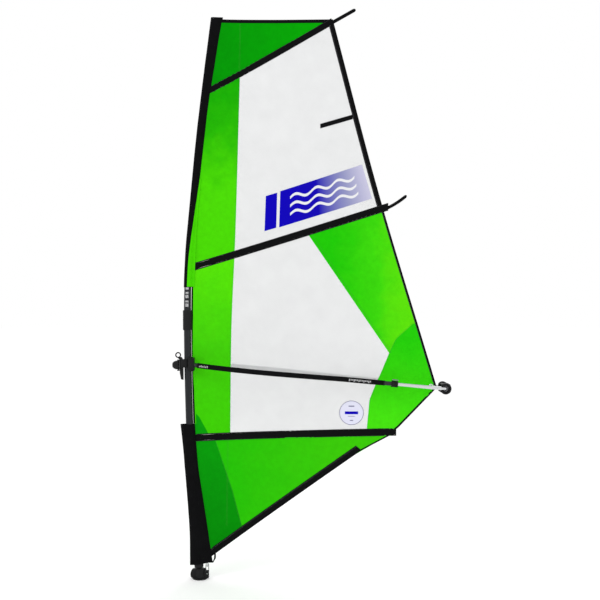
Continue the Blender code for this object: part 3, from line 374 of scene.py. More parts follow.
def outhaul_route():
    middle, reach = boom_z(1.540), 0.0080 + LINE_RADIUS + 0.0014
    ring_x, ring_z = CLEW_RING
    ring_y = camber(ring_x, ring_z)
    half = [(1.2450, 0.0580, boom_z(1.245)), (1.3300, 0.0575, boom_z(1.33)), (1.4200, 0.0560, boom_z(1.42)),
            (1.4650, 0.0510, boom_z(1.465)), (1.5000, 0.0420, boom_z(1.50))]
    for k in range(7):
        angle = math.radians(75 - 150 * k / 6)
        half.append((1.5310 + reach * math.cos(angle), 0.0290 + reach * math.sin(angle), middle))
    half += [(1.5180, 0.0185, middle), (1.4960, 0.0160, middle + 0.001), (1.4760, 0.0130, middle + 0.004),
             (1.4600, ring_y + 0.0060, ring_z - 0.0010)]
    return half + [(ring_x, ring_y, ring_z)] + [(x, 2 * ring_y - y if k == 0 else -y, z)
                                                for k, (x, y, z) in enumerate(reversed(half))]


def downhaul_route():
    block_x, base_z, tack_z, pitch = 0.046, 0.034, 0.086, 0.0084
    reach = 0.0066 + LINE_RADIUS + 0.0009
    route = [(block_x + reach, -pitch, tack_z - 0.010)]
    across = -pitch
    for turn in range(3):
        for k in range(7):
            angle = math.pi + math.pi * k / 6
            route.append((block_x - reach * math.cos(angle), across, base_z + reach * math.sin(angle)))
        if turn == 2:
            break
        across += pitch / 2
        for k in range(7):
            angle = math.pi * k / 6
            route.append((block_x - reach * math.cos(angle), across, tack_z + reach * math.sin(angle)))
        across += pitch / 2
    return route + [(block_x - reach, pitch, 0.0680)]


line_braid = braid_material("line_braid", (0.012, 0.012, 0.014), (0.11, 0.11, 0.12), 0.006)
outhaul_points = rounded_route(outhaul_route(), 0.004)
outhaul = swept("outhaul_line_braided", outhaul_points, [LINE_RADIUS] * len(outhaul_points), line_braid, 12)
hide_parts("outhaul_line")
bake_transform(outhaul)
downhaul_points = rounded_route(downhaul_route(), 0.002)
downhaul_radii = [LINE_RADIUS] * len(downhaul_points)
downhaul = swept("downhaul_line_braided", downhaul_points, downhaul_radii, line_braid, 12)
ride_as(downhaul, "root", ["downhaul_line"])


# ---- Mast ----------------------------------------------------------------------------------------
# A two-part tapered tube of wound fibre with a black satin lacquer, bent by the downhaul. A wide moulded band
# covers its joint, and pale tick marks are printed above the band.
MAST_RADIUS = 0.023
MAST_TIP_RADIUS = 0.012
MAST_JOINT_Z = 1.600
MAST_TOP_Z = 3.530


def mast_radius(z):
    taper = max(0.0, z - MAST_JOINT_Z) / (MAST_TOP_Z - MAST_JOINT_Z)
    return MAST_RADIUS + (MAST_TIP_RADIUS - MAST_RADIUS) * taper


def mast_line(low, high, steps):
    heights = [low + (high - low) * k / steps for k in range(steps + 1)]
    return [Vector((mast_x(z), 0, z)) for z in heights]


mast_lacquer, tree, shader = new_material("mast_lacquer", (0.011, 0.012, 0.015), 0.32, gloss=0.25)
length, turn = uv_parts(tree)
winding = math_node(tree, "ADD", math_node(tree, "MULTIPLY", length, 700.0),
                    math_node(tree, "MULTIPLY", turn, 4 * math.pi))
crossing = math_node(tree, "SUBTRACT", math_node(tree, "MULTIPLY", length, 700.0),
                     math_node(tree, "MULTIPLY", turn, 4 * math.pi))
fibres = math_node(tree, "MAXIMUM", math_node(tree, "SINE", winding), math_node(tree, "SINE", crossing))
scuffs = noise_field(tree, object_place(tree, 1.0, 1.0, 0.3), 60.0, 6.0)
two_tone(tree, shader, scuffs, (0.004, 0.005, 0.006), (0.012, 0.014, 0.018))
rough_range(tree, shader, scuffs, 0.22, 0.48)
relief(tree, shader, fibres, 0.12, 0.0003)

lower_line = mast_line(0.150, MAST_JOINT_Z, 70)
mast_low = swept("mast_lower_tube", lower_line, [MAST_RADIUS] * 71, mast_lacquer, 40, 0.0022)
ride_as(mast_low, "root", ["mast_lower"])
upper_line = mast_line(MAST_JOINT_Z + 0.0003, MAST_TOP_Z, 90)
upper_radii = [mast_radius(centre.z) for centre in upper_line]
mast_high = swept("mast_upper_tube", upper_line, upper_radii, mast_lacquer, 40, 0.0022)
ride_as(mast_high, "root", ["mast_upper"])

band_rubber = mottled("band_rubber", (0.010, 0.010, 0.011), 0.62, (0.003, 0.003, 0.003),
                      (0.009, 0.009, 0.010), (900.0, 4.0), bump=(900.0, 4.0, 0.35, 0.0004), gloss=0.2)
band_line = mast_line(1.565, 1.690, 60)
band_radii = []
for k in range(61):
    near_end = min(k, 60 - k) / 60
    groove = 0.0009 if (k // 3) % 2 and 0.12 < near_end else 0.0
    band_radii.append(MAST_RADIUS + 0.0060 - 0.0022 * math.exp(-near_end * 40) - groove)
band = swept("mast_joint_sleeve", band_line, band_radii, band_rubber, 48, 0.0042)
ride_as(band, "root", ["mast_joint_band"])

print_white = mottled("print_white", (0.72, 0.72, 0.73), 0.5, (0.60, 0.60, 0.61), (0.80, 0.80, 0.81),
                      (260.0, 5.0))


INK_THICK = 0.00012


def curved_mark(bm, low, high, start, end):
    """A thin printed patch lying on the mast between two heights and two angles."""
    grid = []
    for j in range(5):
        z = low + (high - low) * j / 4
        radius = mast_radius(z) + INK_THICK
        grid.append([bm.verts.new((mast_x(z) + radius * math.sin(t), -radius * math.cos(t), z))
                     for t in (start + (end - start) * i / 8 for i in range(9))])
    fill_grid(bm, grid)


bm = bmesh.new()
for k, tall in enumerate((0.020, 0.012, 0.020, 0.012, 0.020)):
    foot = 1.712 + 0.027 * k
    curved_mark(bm, foot, foot + tall, -0.55, 0.35)
bmesh.ops.solidify(bm, geom=list(bm.faces), thickness=0.0001)
ride_as(mesh_object("mast_tick_marks", bm, print_white), "root")


# ---- Mast extension and base ---------------------------------------------------------------------
# An alloy tube inside the mast's foot with a moulded height collar, on a moulded cup for the board's pin.
# The cup carries the pulley housing, three sheaves on a steel pin, a jam cleat and a release button.
def ringed(name, profile, centre, axis, material, sides=48):
    """A profile of (radius, height) turned about axis; one that ends on the axis closes itself."""
    bm = bmesh.new()
    rings = []
    for radius, height in profile:
        if radius == 0.0:
            rings.append([bm.verts.new((0, 0, height))] * sides)
        else:
            rings.append([bm.verts.new((radius * math.cos(2 * math.pi * k / sides),
                                        radius * math.sin(2 * math.pi * k / sides), height))
                          for k in range(sides)])
    closed = profile[0][0] != 0.0
    for low, high in zip(rings, rings[1:] + (rings[:1] if closed else [])):
        for k in range(sides):
            j = (k + 1) % sides
            corners = [low[k], low[j], high[j], high[k]]
            bm.faces.new(list(dict.fromkeys(corners)))
    turn = Vector((0, 0, 1)).rotation_difference(Vector(axis)).to_matrix().to_4x4()
    turn.translation = Vector(centre)
    bmesh.ops.transform(bm, matrix=turn, verts=bm.verts)
    return mesh_object(name, bm, material, 35.0)


def eased(name, node, material, body="root", width=0.0008, segments=3, angle=30.0):
    """A CAD piece with its doubles merged, its flat faces joined and its edges rounded."""
    bm = bmesh.new()
    bm.from_mesh(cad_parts[node].data)
    bmesh.ops.remove_doubles(bm, verts=bm.verts, dist=0.00001)
    bmesh.ops.dissolve_limit(bm, angle_limit=math.radians(1.0), verts=bm.verts, edges=bm.edges)
    sharp = [e for e in bm.edges if len(e.link_faces) == 2 and e.calc_face_angle(0.0) > math.radians(angle)]
    bmesh.ops.bevel(bm, geom=sharp, offset=width, segments=segments, profile=0.6, affect="EDGES",
                    clamp_overlap=True)
    return ride_as(mesh_object(name, bm, material, 40.0, outward=False), body, [node])


SPARK_GRAIN = (1400.0, 2.0, 0.25, 0.0003)       # the mould's fine spark-eroded texture
moulded_black = mottled("moulded_black", (0.014, 0.014, 0.015), 0.5, (0.003, 0.003, 0.003),
                        (0.010, 0.010, 0.011), (45.0, 6.0), (0.34, 0.66), SPARK_GRAIN, gloss=0.16)
moulded_grey = mottled("moulded_grey", (0.16, 0.16, 0.17), 0.5, (0.10, 0.10, 0.11), (0.24, 0.24, 0.25),
                       (60.0, 6.0), (0.36, 0.62), SPARK_GRAIN)
bright_steel = mottled("bright_steel", (0.62, 0.63, 0.64), 0.22, (0.50, 0.51, 0.52), (0.72, 0.73, 0.74),
                       (400.0, 3.0), (0.14, 0.34), stretch=(1.0, 1.0, 12.0), metallic=1.0)

brushed_alloy, tree, shader = new_material("brushed_alloy", (0.60, 0.61, 0.62), 0.34, metallic=1.0)
length, turn = uv_parts(tree)
drawn = tree.nodes.new("ShaderNodeCombineXYZ")
tree.links.new(math_node(tree, "MULTIPLY", length, 3.0), drawn.inputs["X"])
tree.links.new(math_node(tree, "MULTIPLY", turn, 160.0), drawn.inputs["Y"])
streaks = noise_field(tree, drawn.outputs["Vector"], 2.0, 4.0)
rough_range(tree, shader, streaks, 0.24, 0.46)
two_tone(tree, shader, streaks, (0.50, 0.51, 0.52), (0.70, 0.71, 0.72))
relief(tree, shader, streaks, 0.08, 0.0003)

extension_line = mast_line(0.069, 0.480, 24)
extension = swept("extension_tube_drawn", extension_line, [0.0192] * 25, mast_lacquer, 40, 0.0020)
ride_as(extension, "root", ["extension_tube"])
COLLAR_Z, COLLAR_TALL = 0.0720, 0.0778
COLLAR_BORE, COLLAR_OUT, COLLAR_GROOVE = 0.0201, 0.0285, 0.0272
collar_profile = [(COLLAR_BORE, 0.0), (0.0262, 0.0), (COLLAR_OUT, 0.0020), (COLLAR_OUT, 0.0360)]
for k in range(5):
    foot = 0.0400 + 0.0066 * k
    collar_profile += [(COLLAR_OUT, foot), (COLLAR_GROOVE, foot + 0.0008), (COLLAR_GROOVE, foot + 0.0032),
                       (COLLAR_OUT, foot + 0.0040)]
collar_profile += [(COLLAR_OUT, 0.0762), (0.0275, COLLAR_TALL), (COLLAR_BORE, COLLAR_TALL)]
collar_lean = Vector((mast_x(0.150) - mast_x(COLLAR_Z), 0, 0.078))
collar = ringed("extension_collar_ribbed", collar_profile, (mast_x(COLLAR_Z), 0, COLLAR_Z), collar_lean,
                moulded_black)
ride_as(collar, "root", ["extension_collar"])
eased("base_cup_moulded", "base_cup", moulded_black, width=0.0009, angle=32)
button_profile = [(0.0, 0.0), (0.0058, 0.0), (0.0060, 0.0004), (0.0060, 0.0220), (0.0081, 0.0222),
                  (0.0086, 0.0230), (0.0086, 0.0258), (0.0078, 0.0268), (0.0055, 0.0264), (0.0, 0.0258)]
release = ringed("base_release_button_dished", button_profile, (-0.0208, 0, 0.036), (-1, 0, 0),
                 moulded_grey, 40)
ride_as(release, "base_release_button", ["base_release_button"])


def pulley(name, centre, axis, material):
    """A grooved wheel with a dished web and a hub."""
    radius, groove, half, bore = 0.0100, 0.0066, 0.0033, 0.00285
    edge = half * 0.93
    cheek = [(bore, half), (bore * 1.75, half), (bore * 1.85, edge * 0.72), (groove * 0.98, edge * 0.72),
             (groove * 1.06, edge), (radius * 0.985, half), (radius, half * 0.82),
             (groove * 1.18, half * 0.42)]
    profile = [(across, -rise) for across, rise in cheek] + [(groove, 0.0)] + cheek[::-1]
    return ringed(name, profile, centre, axis, material, 36)


for k in range(3):
    node = "base_sheave_%d" % (k + 1)
    wheel = pulley(node + "_turned", (0.046, (k - 1) * 0.0084, 0.034), (0, 1, 0), moulded_grey)
    ride_as(wheel, node, [node])


# ---- Tack block and strap ------------------------------------------------------------------------
# Two sheaves on a steel pin between folded steel cheeks. A doubled webbing strap, bar-tacked at its ends,
# ties the block to the sail's front lower corner.
eased("tack_block_folded", "tack_block", bright_steel, width=0.0005)
for k in range(2):
    node = "tack_sheave_%d" % (k + 1)
    wheel = pulley(node + "_turned", (0.046, (k - 0.5) * 0.0084, 0.086), (0, 1, 0), moulded_grey)
    ride_as(wheel, node, [node])

webbing_black, tree, shader = new_material("webbing_black", (0.012, 0.012, 0.013), 0.82, gloss=0.03)
web_place = object_place(tree)
ribs = add_node(tree, "ShaderNodeTexWave", Scale=260.0, Distortion=1.2, Detail=2.0)
tree.links.new(web_place, ribs.inputs["Vector"])
lint = noise_field(tree, web_place, 500.0, 5.0)
two_tone(tree, shader, lint, (0.002, 0.002, 0.002), (0.008, 0.008, 0.009))
relief(tree, shader, ribs.outputs["Fac"], 0.35, 0.0004)
eased("tack_strap_webbing", "tack_strap", webbing_black, width=0.0007)


# ---- Luff sleeves --------------------------------------------------------------------------------
# Black woven polyester folded round the mast and sewn to the sail's front edge. The upper one hugs the mast
# up to a closed peak, and the lower one is a loose bib, open at both ends, round the mast's foot.
def wrinkle(x, z):
    """Small creases of a tensioned sail: broad ripples, and folds that fan out from the clew and the tack."""
    broad = noise.noise(Vector((x * 5.0, 3.7, z * 5.0))) * 0.0016
    fine = noise.noise(Vector((x * 17.0, 9.1, z * 17.0))) * 0.0005
    folds = 0.0
    for cx, cz, turns, reach, height in ((*CLEW_RING, 15.0, 0.42, 0.0020), (0.05, 0.14, 12.0, 0.30, 0.0016),
                                         (0.838, 3.5186, 10.0, 0.25, 0.0012)):
        far = math.hypot(x - cx, z - cz)
        turn = math.atan2(z - cz, x - cx)
        shape = math.sin(turn * turns + 2.0 * noise.noise(Vector((turn * 2.0, 1.3, far * 3.0))))
        folds += height * shape * math.exp(-far / reach) * min(1.0, far / 0.06)
    return broad + fine + folds


def between(left, right):
    """The four sides of a panel whose bottom and top run straight from its left side to its right."""
    return [left[0], right[0]], [left[-1], right[-1]], left, right


def shell(name, outer_at, inner_at, rows, sides, material, open_round=False):
    """A wall of cloth between two grids of points; open_round leaves it unjoined round the back."""
    bm = bmesh.new()
    outer = [[bm.verts.new(outer_at(j, k)) for k in range(sides)] for j in range(rows)]
    inner = [[bm.verts.new(inner_at(j, k)) for k in range(sides)] for j in range(rows)]
    if open_round:
        fill_grid(bm, outer)
        fill_grid(bm, inner)
        skin(bm, [rim_of(outer), rim_of(inner)])
    else:
        skin(bm, outer)
        skin(bm, inner)
        skin(bm, [outer[0], inner[0]])
        skin(bm, [outer[-1], inner[-1]])
    return mesh_object(name, bm, material, 60.0)


sleeve_black, tree, shader = new_material("sleeve_black", (0.010, 0.010, 0.011), 0.72, gloss=0.03)
weave_place = object_place(tree)
warp = add_node(tree, "ShaderNodeTexWave", Scale=420.0, Distortion=0.6)
warp.bands_direction = "Z"
weft = add_node(tree, "ShaderNodeTexWave", Scale=420.0, Distortion=0.6)
weft.bands_direction = "X"
for thread in (warp, weft):
    tree.links.new(weave_place, thread.inputs["Vector"])
threads = math_node(tree, "MAXIMUM", warp.outputs["Fac"], weft.outputs["Fac"])
fade = noise_field(tree, weave_place, 22.0, 6.0)
two_tone(tree, shader, fade, (0.002, 0.002, 0.002), (0.006, 0.006, 0.007))
rough_range(tree, shader, fade, 0.60, 0.85)
relief(tree, shader, threads, 0.3, 0.0004)

UPPER_SLEEVE = (1.835, 3.535)
SLEEVE_CLOTH = 0.0010


def hug_point(z, part, out, back):
    """A point round the mast and back to the luff. part runs from one side of the luff, round the front, to
    the other; out is the cloth's distance off the mast, and back is where its two sides meet."""
    centre, radius = mast_x(z), mast_radius(z) + out
    reach = back - centre
    lean = math.acos(min(0.999, radius / reach))
    touch = Vector((centre + radius * math.cos(lean), radius * math.sin(lean)))
    side = 1.0 if part < 0.5 else -1.0
    share = part * 2.0 if part < 0.5 else (1.0 - part) * 2.0
    straight = 0.30
    if share < straight:
        t = share / straight
        point = Vector((back, 0.0010 + out * 0.2)).lerp(touch, t)
    else:
        angle = lean + (math.pi - lean) * (share - straight) / (1.0 - straight)
        point = Vector((centre + radius * math.cos(angle), radius * math.sin(angle)))
    return Vector((point.x, side * point.y, z))


def sleeve_crease(z, part):
    return 0.0012 * noise.noise(Vector((math.cos(part * 6.28) * 1.5, math.sin(part * 6.28) * 1.5, z * 9.0)))


def upper_point(j, k, out):
    z = UPPER_SLEEVE[0] + (UPPER_SLEEVE[1] - UPPER_SLEEVE[0]) * j / 110
    shut = max(0.0, (z - 3.515) / 0.022)
    point = hug_point(z, k / 40, out + max(0.0, sleeve_crease(z, k / 40)), luff_x(z) + 0.0015)
    return Vector((point.x, point.y * (1.0 - 0.62 * shut * shut), point.z))


upper_sleeve = shell("luff_sleeve_upper_cloth", lambda j, k: upper_point(j, k, 0.0036),
                     lambda j, k: upper_point(j, k, 0.0036 - SLEEVE_CLOTH), 111, 40, sleeve_black)
ride_as(upper_sleeve, "root", ["luff_sleeve_upper"])
BIB = (0.108, 0.973)
BIB_DROP = 0.022                # how much lower its front hangs than its back
BIB_FRONT = [(0.108, -0.063), (0.30, -0.066), (0.52, -0.082), (0.82, -0.107), (0.973, -0.123)]


def bib_point(j, k, less):
    """The loose bib: an oval that hangs in long folds, flared forward at its top."""
    z = BIB[0] + (BIB[1] - BIB[0]) * j / 90
    front, back = smooth_value(BIB_FRONT, z), smooth_value(BIB_AFT, z) + 0.002
    angle = 2 * math.pi * k / 56
    centre, half = (front + back) / 2, (back - front) / 2
    fold = noise.noise(Vector((math.cos(angle) * 2.2, math.sin(angle) * 2.2, z * 3.0)))
    fold += 0.5 * noise.noise(Vector((math.cos(angle) * 5.0, math.sin(angle) * 5.0, z * 7.0)))
    pinch = 0.45 + 0.55 * abs(math.sin(angle)) ** 0.5
    depth = 0.0320 * pinch - 0.0035 + 0.0040 * fold
    x = centre + (half - less - 0.0012 * abs(fold)) * math.cos(angle)
    drop = BIB_DROP / 2 * (1 - math.cos(angle)) * max(0.0, 1 - j / 12)
    return Vector((x, (depth - less) * math.sin(angle), z - drop))


bib = shell("luff_sleeve_lower_cloth", lambda j, k: bib_point(j, k, 0.0),
            lambda j, k: bib_point(j, k, SLEEVE_CLOTH), 91, 56, sleeve_black)
ride_as(bib, "root", ["luff_sleeve_lower"])


# ---- Sail panels ---------------------------------------------------------------------------------
# Green laminated cloth and clear film, cut flat and sewn into a bellied sail. The cloth is lapped over the
# film and over its neighbours, and each panel is a thin closed sheet that follows the same curved surface.
LOW_BATTEN = ((0.0315, 0.8883), (1.2411, 0.9210))      # (x, height) of both ends
MID_BATTEN = ((-0.0756, 1.9517), (1.1718, 2.3377))
TOP_BATTEN = ((0.0315, 3.0587), (0.8253, 3.5060))
SHORT_BATTEN = ((0.7623, 2.8539), (0.9480, 2.9050))
POCKET_HALF = {"top": 0.020, "middle": 0.0235, "lower": 0.024, "short": 0.014}
WINDOW_EDGE = [(0.90, 0.1793), (1.58, 0.186), (2.18, 0.211), (3.10, 0.240)]       # (height, x)
HEAD_Z = 3.5186
LEECH_TAPE = {"upper": 0.035, "lower": 0.016}
FOOT_TAPE = 0.044
FOOT_LINE = [(0.0640, 0.1330), (0.1764, 0.2111), (1.0458, 0.8222)]      # (x, height)


def along(points, part):
    """The point at a fraction of a polyline's length; outside 0 to 1 its end runs on."""
    lengths = [math.dist(points[i], points[i + 1]) for i in range(len(points) - 1)]
    target = part * sum(lengths)
    for i, length in enumerate(lengths):
        if target <= length or i == len(lengths) - 1:
            t = target / length
            a, b = points[i], points[i + 1]
            return (a[0] + (b[0] - a[0]) * t, a[1] + (b[1] - a[1]) * t)
        target -= length


def coons(bottom, top, left, right, u, v):
    """Point of the patch between the four edges of an outline; u runs aft and v runs up."""
    b, t = along(bottom, u), along(top, u)
    l, r = along(left, v), along(right, v)
    corners = (bottom[0], bottom[-1], top[0], top[-1])
    weights = ((1 - u) * (1 - v), u * (1 - v), (1 - u) * v, u * v)
    return [(1 - v) * b[k] + v * t[k] + (1 - u) * l[k] + u * r[k]
            - sum(w * c[k] for w, c in zip(weights, corners)) for k in range(2)]


def line_z(batten, x, offset=0.0):
    """Height of a batten's centre line at x, offset square to it."""
    (xa, za), (xb, zb) = batten
    slope = (zb - za) / (xb - xa)
    return za + slope * (x - xa) + offset * math.sqrt(1 + slope * slope)


def on_edge(batten, half, *xs):
    """The (x, height) points at xs on the line that runs half a pocket's width off a batten."""
    return [(x, line_z(batten, x, half)) for x in xs]


def curve_points(points, low, high, steps=16):
    """(x, height) points of a (height, x) curve between two heights."""
    heights = [low + (high - low) * k / steps for k in range(steps + 1)]
    return [(smooth_value(points, z), z) for z in heights]


def shifted(points, dx=0.0, dz=0.0):
    return [(x + dx, z + dz) for x, z in points]


def leech_meet(batten, offset, inset):
    """Where a line offset from a batten meets the line inset from the leech."""
    x = batten[1][0]
    for _ in range(6):
        z = line_z(batten, x, offset)
        x = leech_x(z) - inset
    return x, z


def luff_meet(batten, offset):
    x = batten[0][0]
    for _ in range(6):
        z = line_z(batten, x, offset)
        x = luff_x(z)
    return z


def sail_panel(name, sides, material, node, thick=0.0009, laps=(0, 0, 0, 0), mesh_step=0.014):
    """A closed sheet between its sides (bottom, top, left, right), which runs past them by its laps (left,
    right, bottom, top)."""
    bottom, top, left, right = sides
    wide = max(math.dist(along(left, 0.5), along(right, 0.5)), 0.02)
    tall = max(math.dist(along(bottom, 0.5), along(top, 0.5)), 0.02)
    columns, rows = max(2, math.ceil(wide / mesh_step)), max(2, math.ceil(tall / mesh_step))
    low_u, high_u, low_v, high_v = -laps[0] / wide, 1 + laps[1] / wide, -laps[2] / tall, 1 + laps[3] / tall
    bm = bmesh.new()
    rims = []
    for face in (-1, 1):
        grid = []
        for j in range(rows + 1):
            v = low_v + (high_v - low_v) * j / rows
            line = []
            for i in range(columns + 1):
                x, z = coons(bottom, top, left, right, low_u + (high_u - low_u) * i / columns, v)
                line.append(bm.verts.new((x, camber(x, z) + wrinkle(x, z) + face * thick / 2, z)))
            grid.append(line)
        fill_grid(bm, grid)
        rims.append(rim_of(grid))
    skin(bm, rims)
    piece = mesh_object(name, bm, material, 60.0)
    ride_as(piece, "root", [node] if node else [])
    return piece


def srgb(red, green, blue):
    """Linear colour of three screen values from 0 to 255."""
    return tuple(((c / 255 + 0.055) / 1.055) ** 2.4 if c > 10 else c / 255 / 12.92
                 for c in (red, green, blue))


def crinkle_cloth(name, lit_and_shaded_stops, axis, low, high):
    """Laminated cloth whose colour runs through stops along an axis as painted light and shade: painted
    backlight glow in the bright stops and painted shade in the dark ones. It has faint mottling that is both
    random tone and painted crinkle shade, a thread grid and fine creases.
    """
    made, tree, shader = new_material(name, lit_and_shaded_stops[0], 0.50, gloss=0.02)
    place = object_place(tree)
    split = tree.nodes.new("ShaderNodeSeparateXYZ")
    tree.links.new(place, split.inputs["Vector"])
    blotch = noise_field(tree, place, 7.0, 5.0)
    travel = math_node(tree, "SUBTRACT", split.outputs[axis], low)
    travel = math_node(tree, "DIVIDE", travel, high - low)
    stray = math_node(tree, "MULTIPLY", math_node(tree, "SUBTRACT", blotch, 0.5), 0.5)
    travel = math_node(tree, "ADD", travel, stray)
    # The ramp paints light and shade into the green: brighter where light glows through the cloth, darker
    # where the panel lies in shade.
    ramp = tree.nodes.new("ShaderNodeValToRGB")
    ramp.color_ramp.elements[0].color = (*lit_and_shaded_stops[0], 1)
    ramp.color_ramp.elements[1].color = (*lit_and_shaded_stops[-1], 1)
    for k, stop in enumerate(lit_and_shaded_stops[1:-1]):
        ramp.color_ramp.elements.new((k + 1) / (len(lit_and_shaded_stops) - 1)).color = (*stop, 1)
    tree.links.new(travel, ramp.inputs["Fac"])
    # This mottle is both random tone and painted crinkle shade: the same field raises the bump, so the raised
    # parts are painted lighter and the hollows darker.
    mottle = noise_field(tree, place, 34.0, 5.0)
    shade = tree.nodes.new("ShaderNodeMix")
    shade.data_type = "RGBA"
    shade.blend_type = "MULTIPLY"
    shade.inputs["Factor"].default_value = 1.0
    spread = add_node(tree, "ShaderNodeMapRange", From_Min=0.30, From_Max=0.70, To_Min=0.95, To_Max=1.04)
    tree.links.new(mottle, spread.inputs["Value"])
    tree.links.new(ramp.outputs["Color"], shade.inputs[6])
    tree.links.new(spread.outputs["Result"], shade.inputs[7])
    tree.links.new(shade.outputs[2], shader.inputs["Base Color"])
    creased = add_node(tree, "ShaderNodeTexVoronoi", Scale=30.0)
    creased.feature = "DISTANCE_TO_EDGE"
    tree.links.new(place, creased.inputs["Vector"])
    threads = add_node(tree, "ShaderNodeTexWave", Scale=330.0)
    threads.bands_direction = "DIAGONAL"
    tree.links.new(place, threads.inputs["Vector"])
    height = math_node(tree, "ADD", math_node(tree, "MULTIPLY", creased.outputs["Distance"], 0.5),
                       math_node(tree, "MULTIPLY", threads.outputs["Fac"], 0.12))
    relief(tree, shader, math_node(tree, "ADD", height, mottle), 0.35, 0.0012)
    rough_range(tree, shader, mottle, 0.38, 0.64)
    return made


# Each panel's stops hold the cloth's green with painted light and shade: the yellow-green stops are painted
# backlight glow and the deep green ones are painted shade.
head_cloth, upper_luff_cloth, lower_luff_cloth, leech_cloth, clew_cloth, tack_cloth, foot_cloth = (
    crinkle_cloth("cloth_" + part, [srgb(*stop) for stop in lit_and_shaded_stops], axis, low, high)
    for part, axis, low, high, lit_and_shaded_stops in (
        ("head", "X", 0.1, 0.8, ((3, 140, 4), (5, 160, 3))),
        ("upper_luff", "Z", 2.05, 3.20, ((70, 206, 3), (72, 208, 4), (38, 176, 3), (16, 160, 3))),
        ("lower_luff", "Z", 0.95, 2.0, ((60, 198, 4), (64, 200, 8), (82, 216, 5))),
        ("leech", "X", 0.85, 1.38, ((30, 190, 5), (58, 205, 10), (98, 219, 8))),
        ("clew", "Z", 1.0, 1.5, ((66, 216, 14), (34, 196, 7))),
        ("tack", "Z", 0.2, 0.9, ((4, 130, 6), (8, 150, 10))),
        ("foot", "X", 0.1, 0.9, ((34, 184, 5), (56, 192, 6)))))
clear_film = mottled("clear_film", (0.72, 0.725, 0.73), 0.16, (0.68, 0.685, 0.69), (0.78, 0.785, 0.79),
                     (9.0, 6.0), (0.10, 0.24), (38.0, 4.0, 0.10, 0.0010), gloss=0.4)
clear_film.node_tree.nodes["Principled BSDF"].inputs["Alpha"].default_value = 0.52

# bay over the top batten
UNDER = 0.004                   # each panel runs this far under a pocket or a tape
FILM_THICK = 0.0004
top_half, mid_half, low_half = POCKET_HALF["top"], POCKET_HALF["middle"], POCKET_HALF["lower"]
front_low = luff_meet(TOP_BATTEN, top_half)
HEAD_AFT = 0.800
head_front = curve_points(LUFF_HIGH, front_low, HEAD_Z, 12)
head_aft = on_edge(TOP_BATTEN, top_half, HEAD_AFT) + [(HEAD_AFT, HEAD_Z)]
sail_panel("head_panel_cloth",
           ([head_front[0], head_aft[0]], [head_front[-1], head_aft[1]], head_front, head_aft),
           head_cloth, "head_panel", laps=(0.004, 0.0, UNDER, 0.0))
# bay between the top and the middle batten
left_low, left_high = luff_meet(MID_BATTEN, mid_half), luff_meet(TOP_BATTEN, -top_half)
upper_seam = curve_points(WINDOW_EDGE, line_z(MID_BATTEN, 0.205, mid_half),
                          line_z(TOP_BATTEN, 0.238, -top_half))
upper_luff = curve_points(LUFF_HIGH, left_low, left_high)
sail_panel("luff_panel_upper_cloth", between(upper_luff, upper_seam), upper_luff_cloth,
           "luff_panel_upper", laps=(0.004, 0.010, UNDER, UNDER))
tape = LEECH_TAPE["upper"]
low_meet, high_meet = leech_meet(MID_BATTEN, mid_half, tape), leech_meet(TOP_BATTEN, -top_half, tape)
upper_inner = shifted(curve_points(LEECH, low_meet[1], high_meet[1]), -tape)
sail_panel("window_upper_film", between(upper_seam, upper_inner), clear_film, "window_upper",
           FILM_THICK, (0.0, UNDER, UNDER, UNDER))
# bay between the middle and the lower batten
lower_seam = curve_points(WINDOW_EDGE, line_z(LOW_BATTEN, 0.18, low_half), line_z(MID_BATTEN, 0.2, -mid_half))
lower_luff = curve_points(LUFF_HIGH, 0.9740, 1.9400)
lower_luff[-1] = (lower_luff[-1][0], line_z(MID_BATTEN, lower_luff[-1][0], -mid_half))
corner = (luff_x(0.94) + 0.0010, line_z(LOW_BATTEN, lower_luff[0][0], low_half))
lower_luff = [corner] + lower_luff
sail_panel("luff_panel_lower_cloth", between(lower_luff, lower_seam), lower_luff_cloth,
           "luff_panel_lower", laps=(0.0, 0.010, UNDER, UNDER))
leech_seam = [(1.2002, 1.4207), (0.6993, line_z(MID_BATTEN, 0.6993, -mid_half))]
clew_low = on_edge(LOW_BATTEN, low_half, 1.0584) + [(1.0773, 1.1246), (1.1088, 1.2002), (1.1529, 1.3010),
                                                    (1.2002, 1.4207)]
clew_high = [(1.2002, 1.4207), (1.2411, 1.5089), (1.3451, 1.6059)]
window_aft = clew_low + leech_seam[1:]
sail_panel("window_main_film", between(lower_seam, window_aft), clear_film, "window_main", FILM_THICK,
           (0.0, 0.004, UNDER, UNDER))
tape = LEECH_TAPE["lower"]
meet = leech_meet(MID_BATTEN, -mid_half, tape)
leech_inner = shifted(curve_points(LEECH, clew_high[-1][1], meet[1]), -tape)
sail_panel("leech_panel_cloth", (clew_high + [leech_inner[0]], [leech_seam[1], leech_inner[-1]],
                                 [clew_high[0], leech_seam[1]], leech_inner),
           leech_cloth, "leech_panel", 0.0010, (0.010, UNDER, 0.004, UNDER))
clew_inner = shifted(curve_points(LEECH, CLEW[1] + 0.022, clew_high[-1][1], 10), -tape)
clew_right = on_edge(LOW_BATTEN, low_half, 1.2411) + [(1.4680, 1.1900)] + clew_inner
clew_left = clew_low + clew_high[1:]
clew_bottom = [clew_left[0]] + on_edge(LOW_BATTEN, low_half, 1.1800) + [clew_right[0]]
sail_panel("clew_patch_cloth", (clew_bottom, [clew_left[-1], clew_right[-1]], clew_left, clew_right),
           clew_cloth, "clew_patch", 0.0014, (0.008, 0.002, UNDER, 0.0))


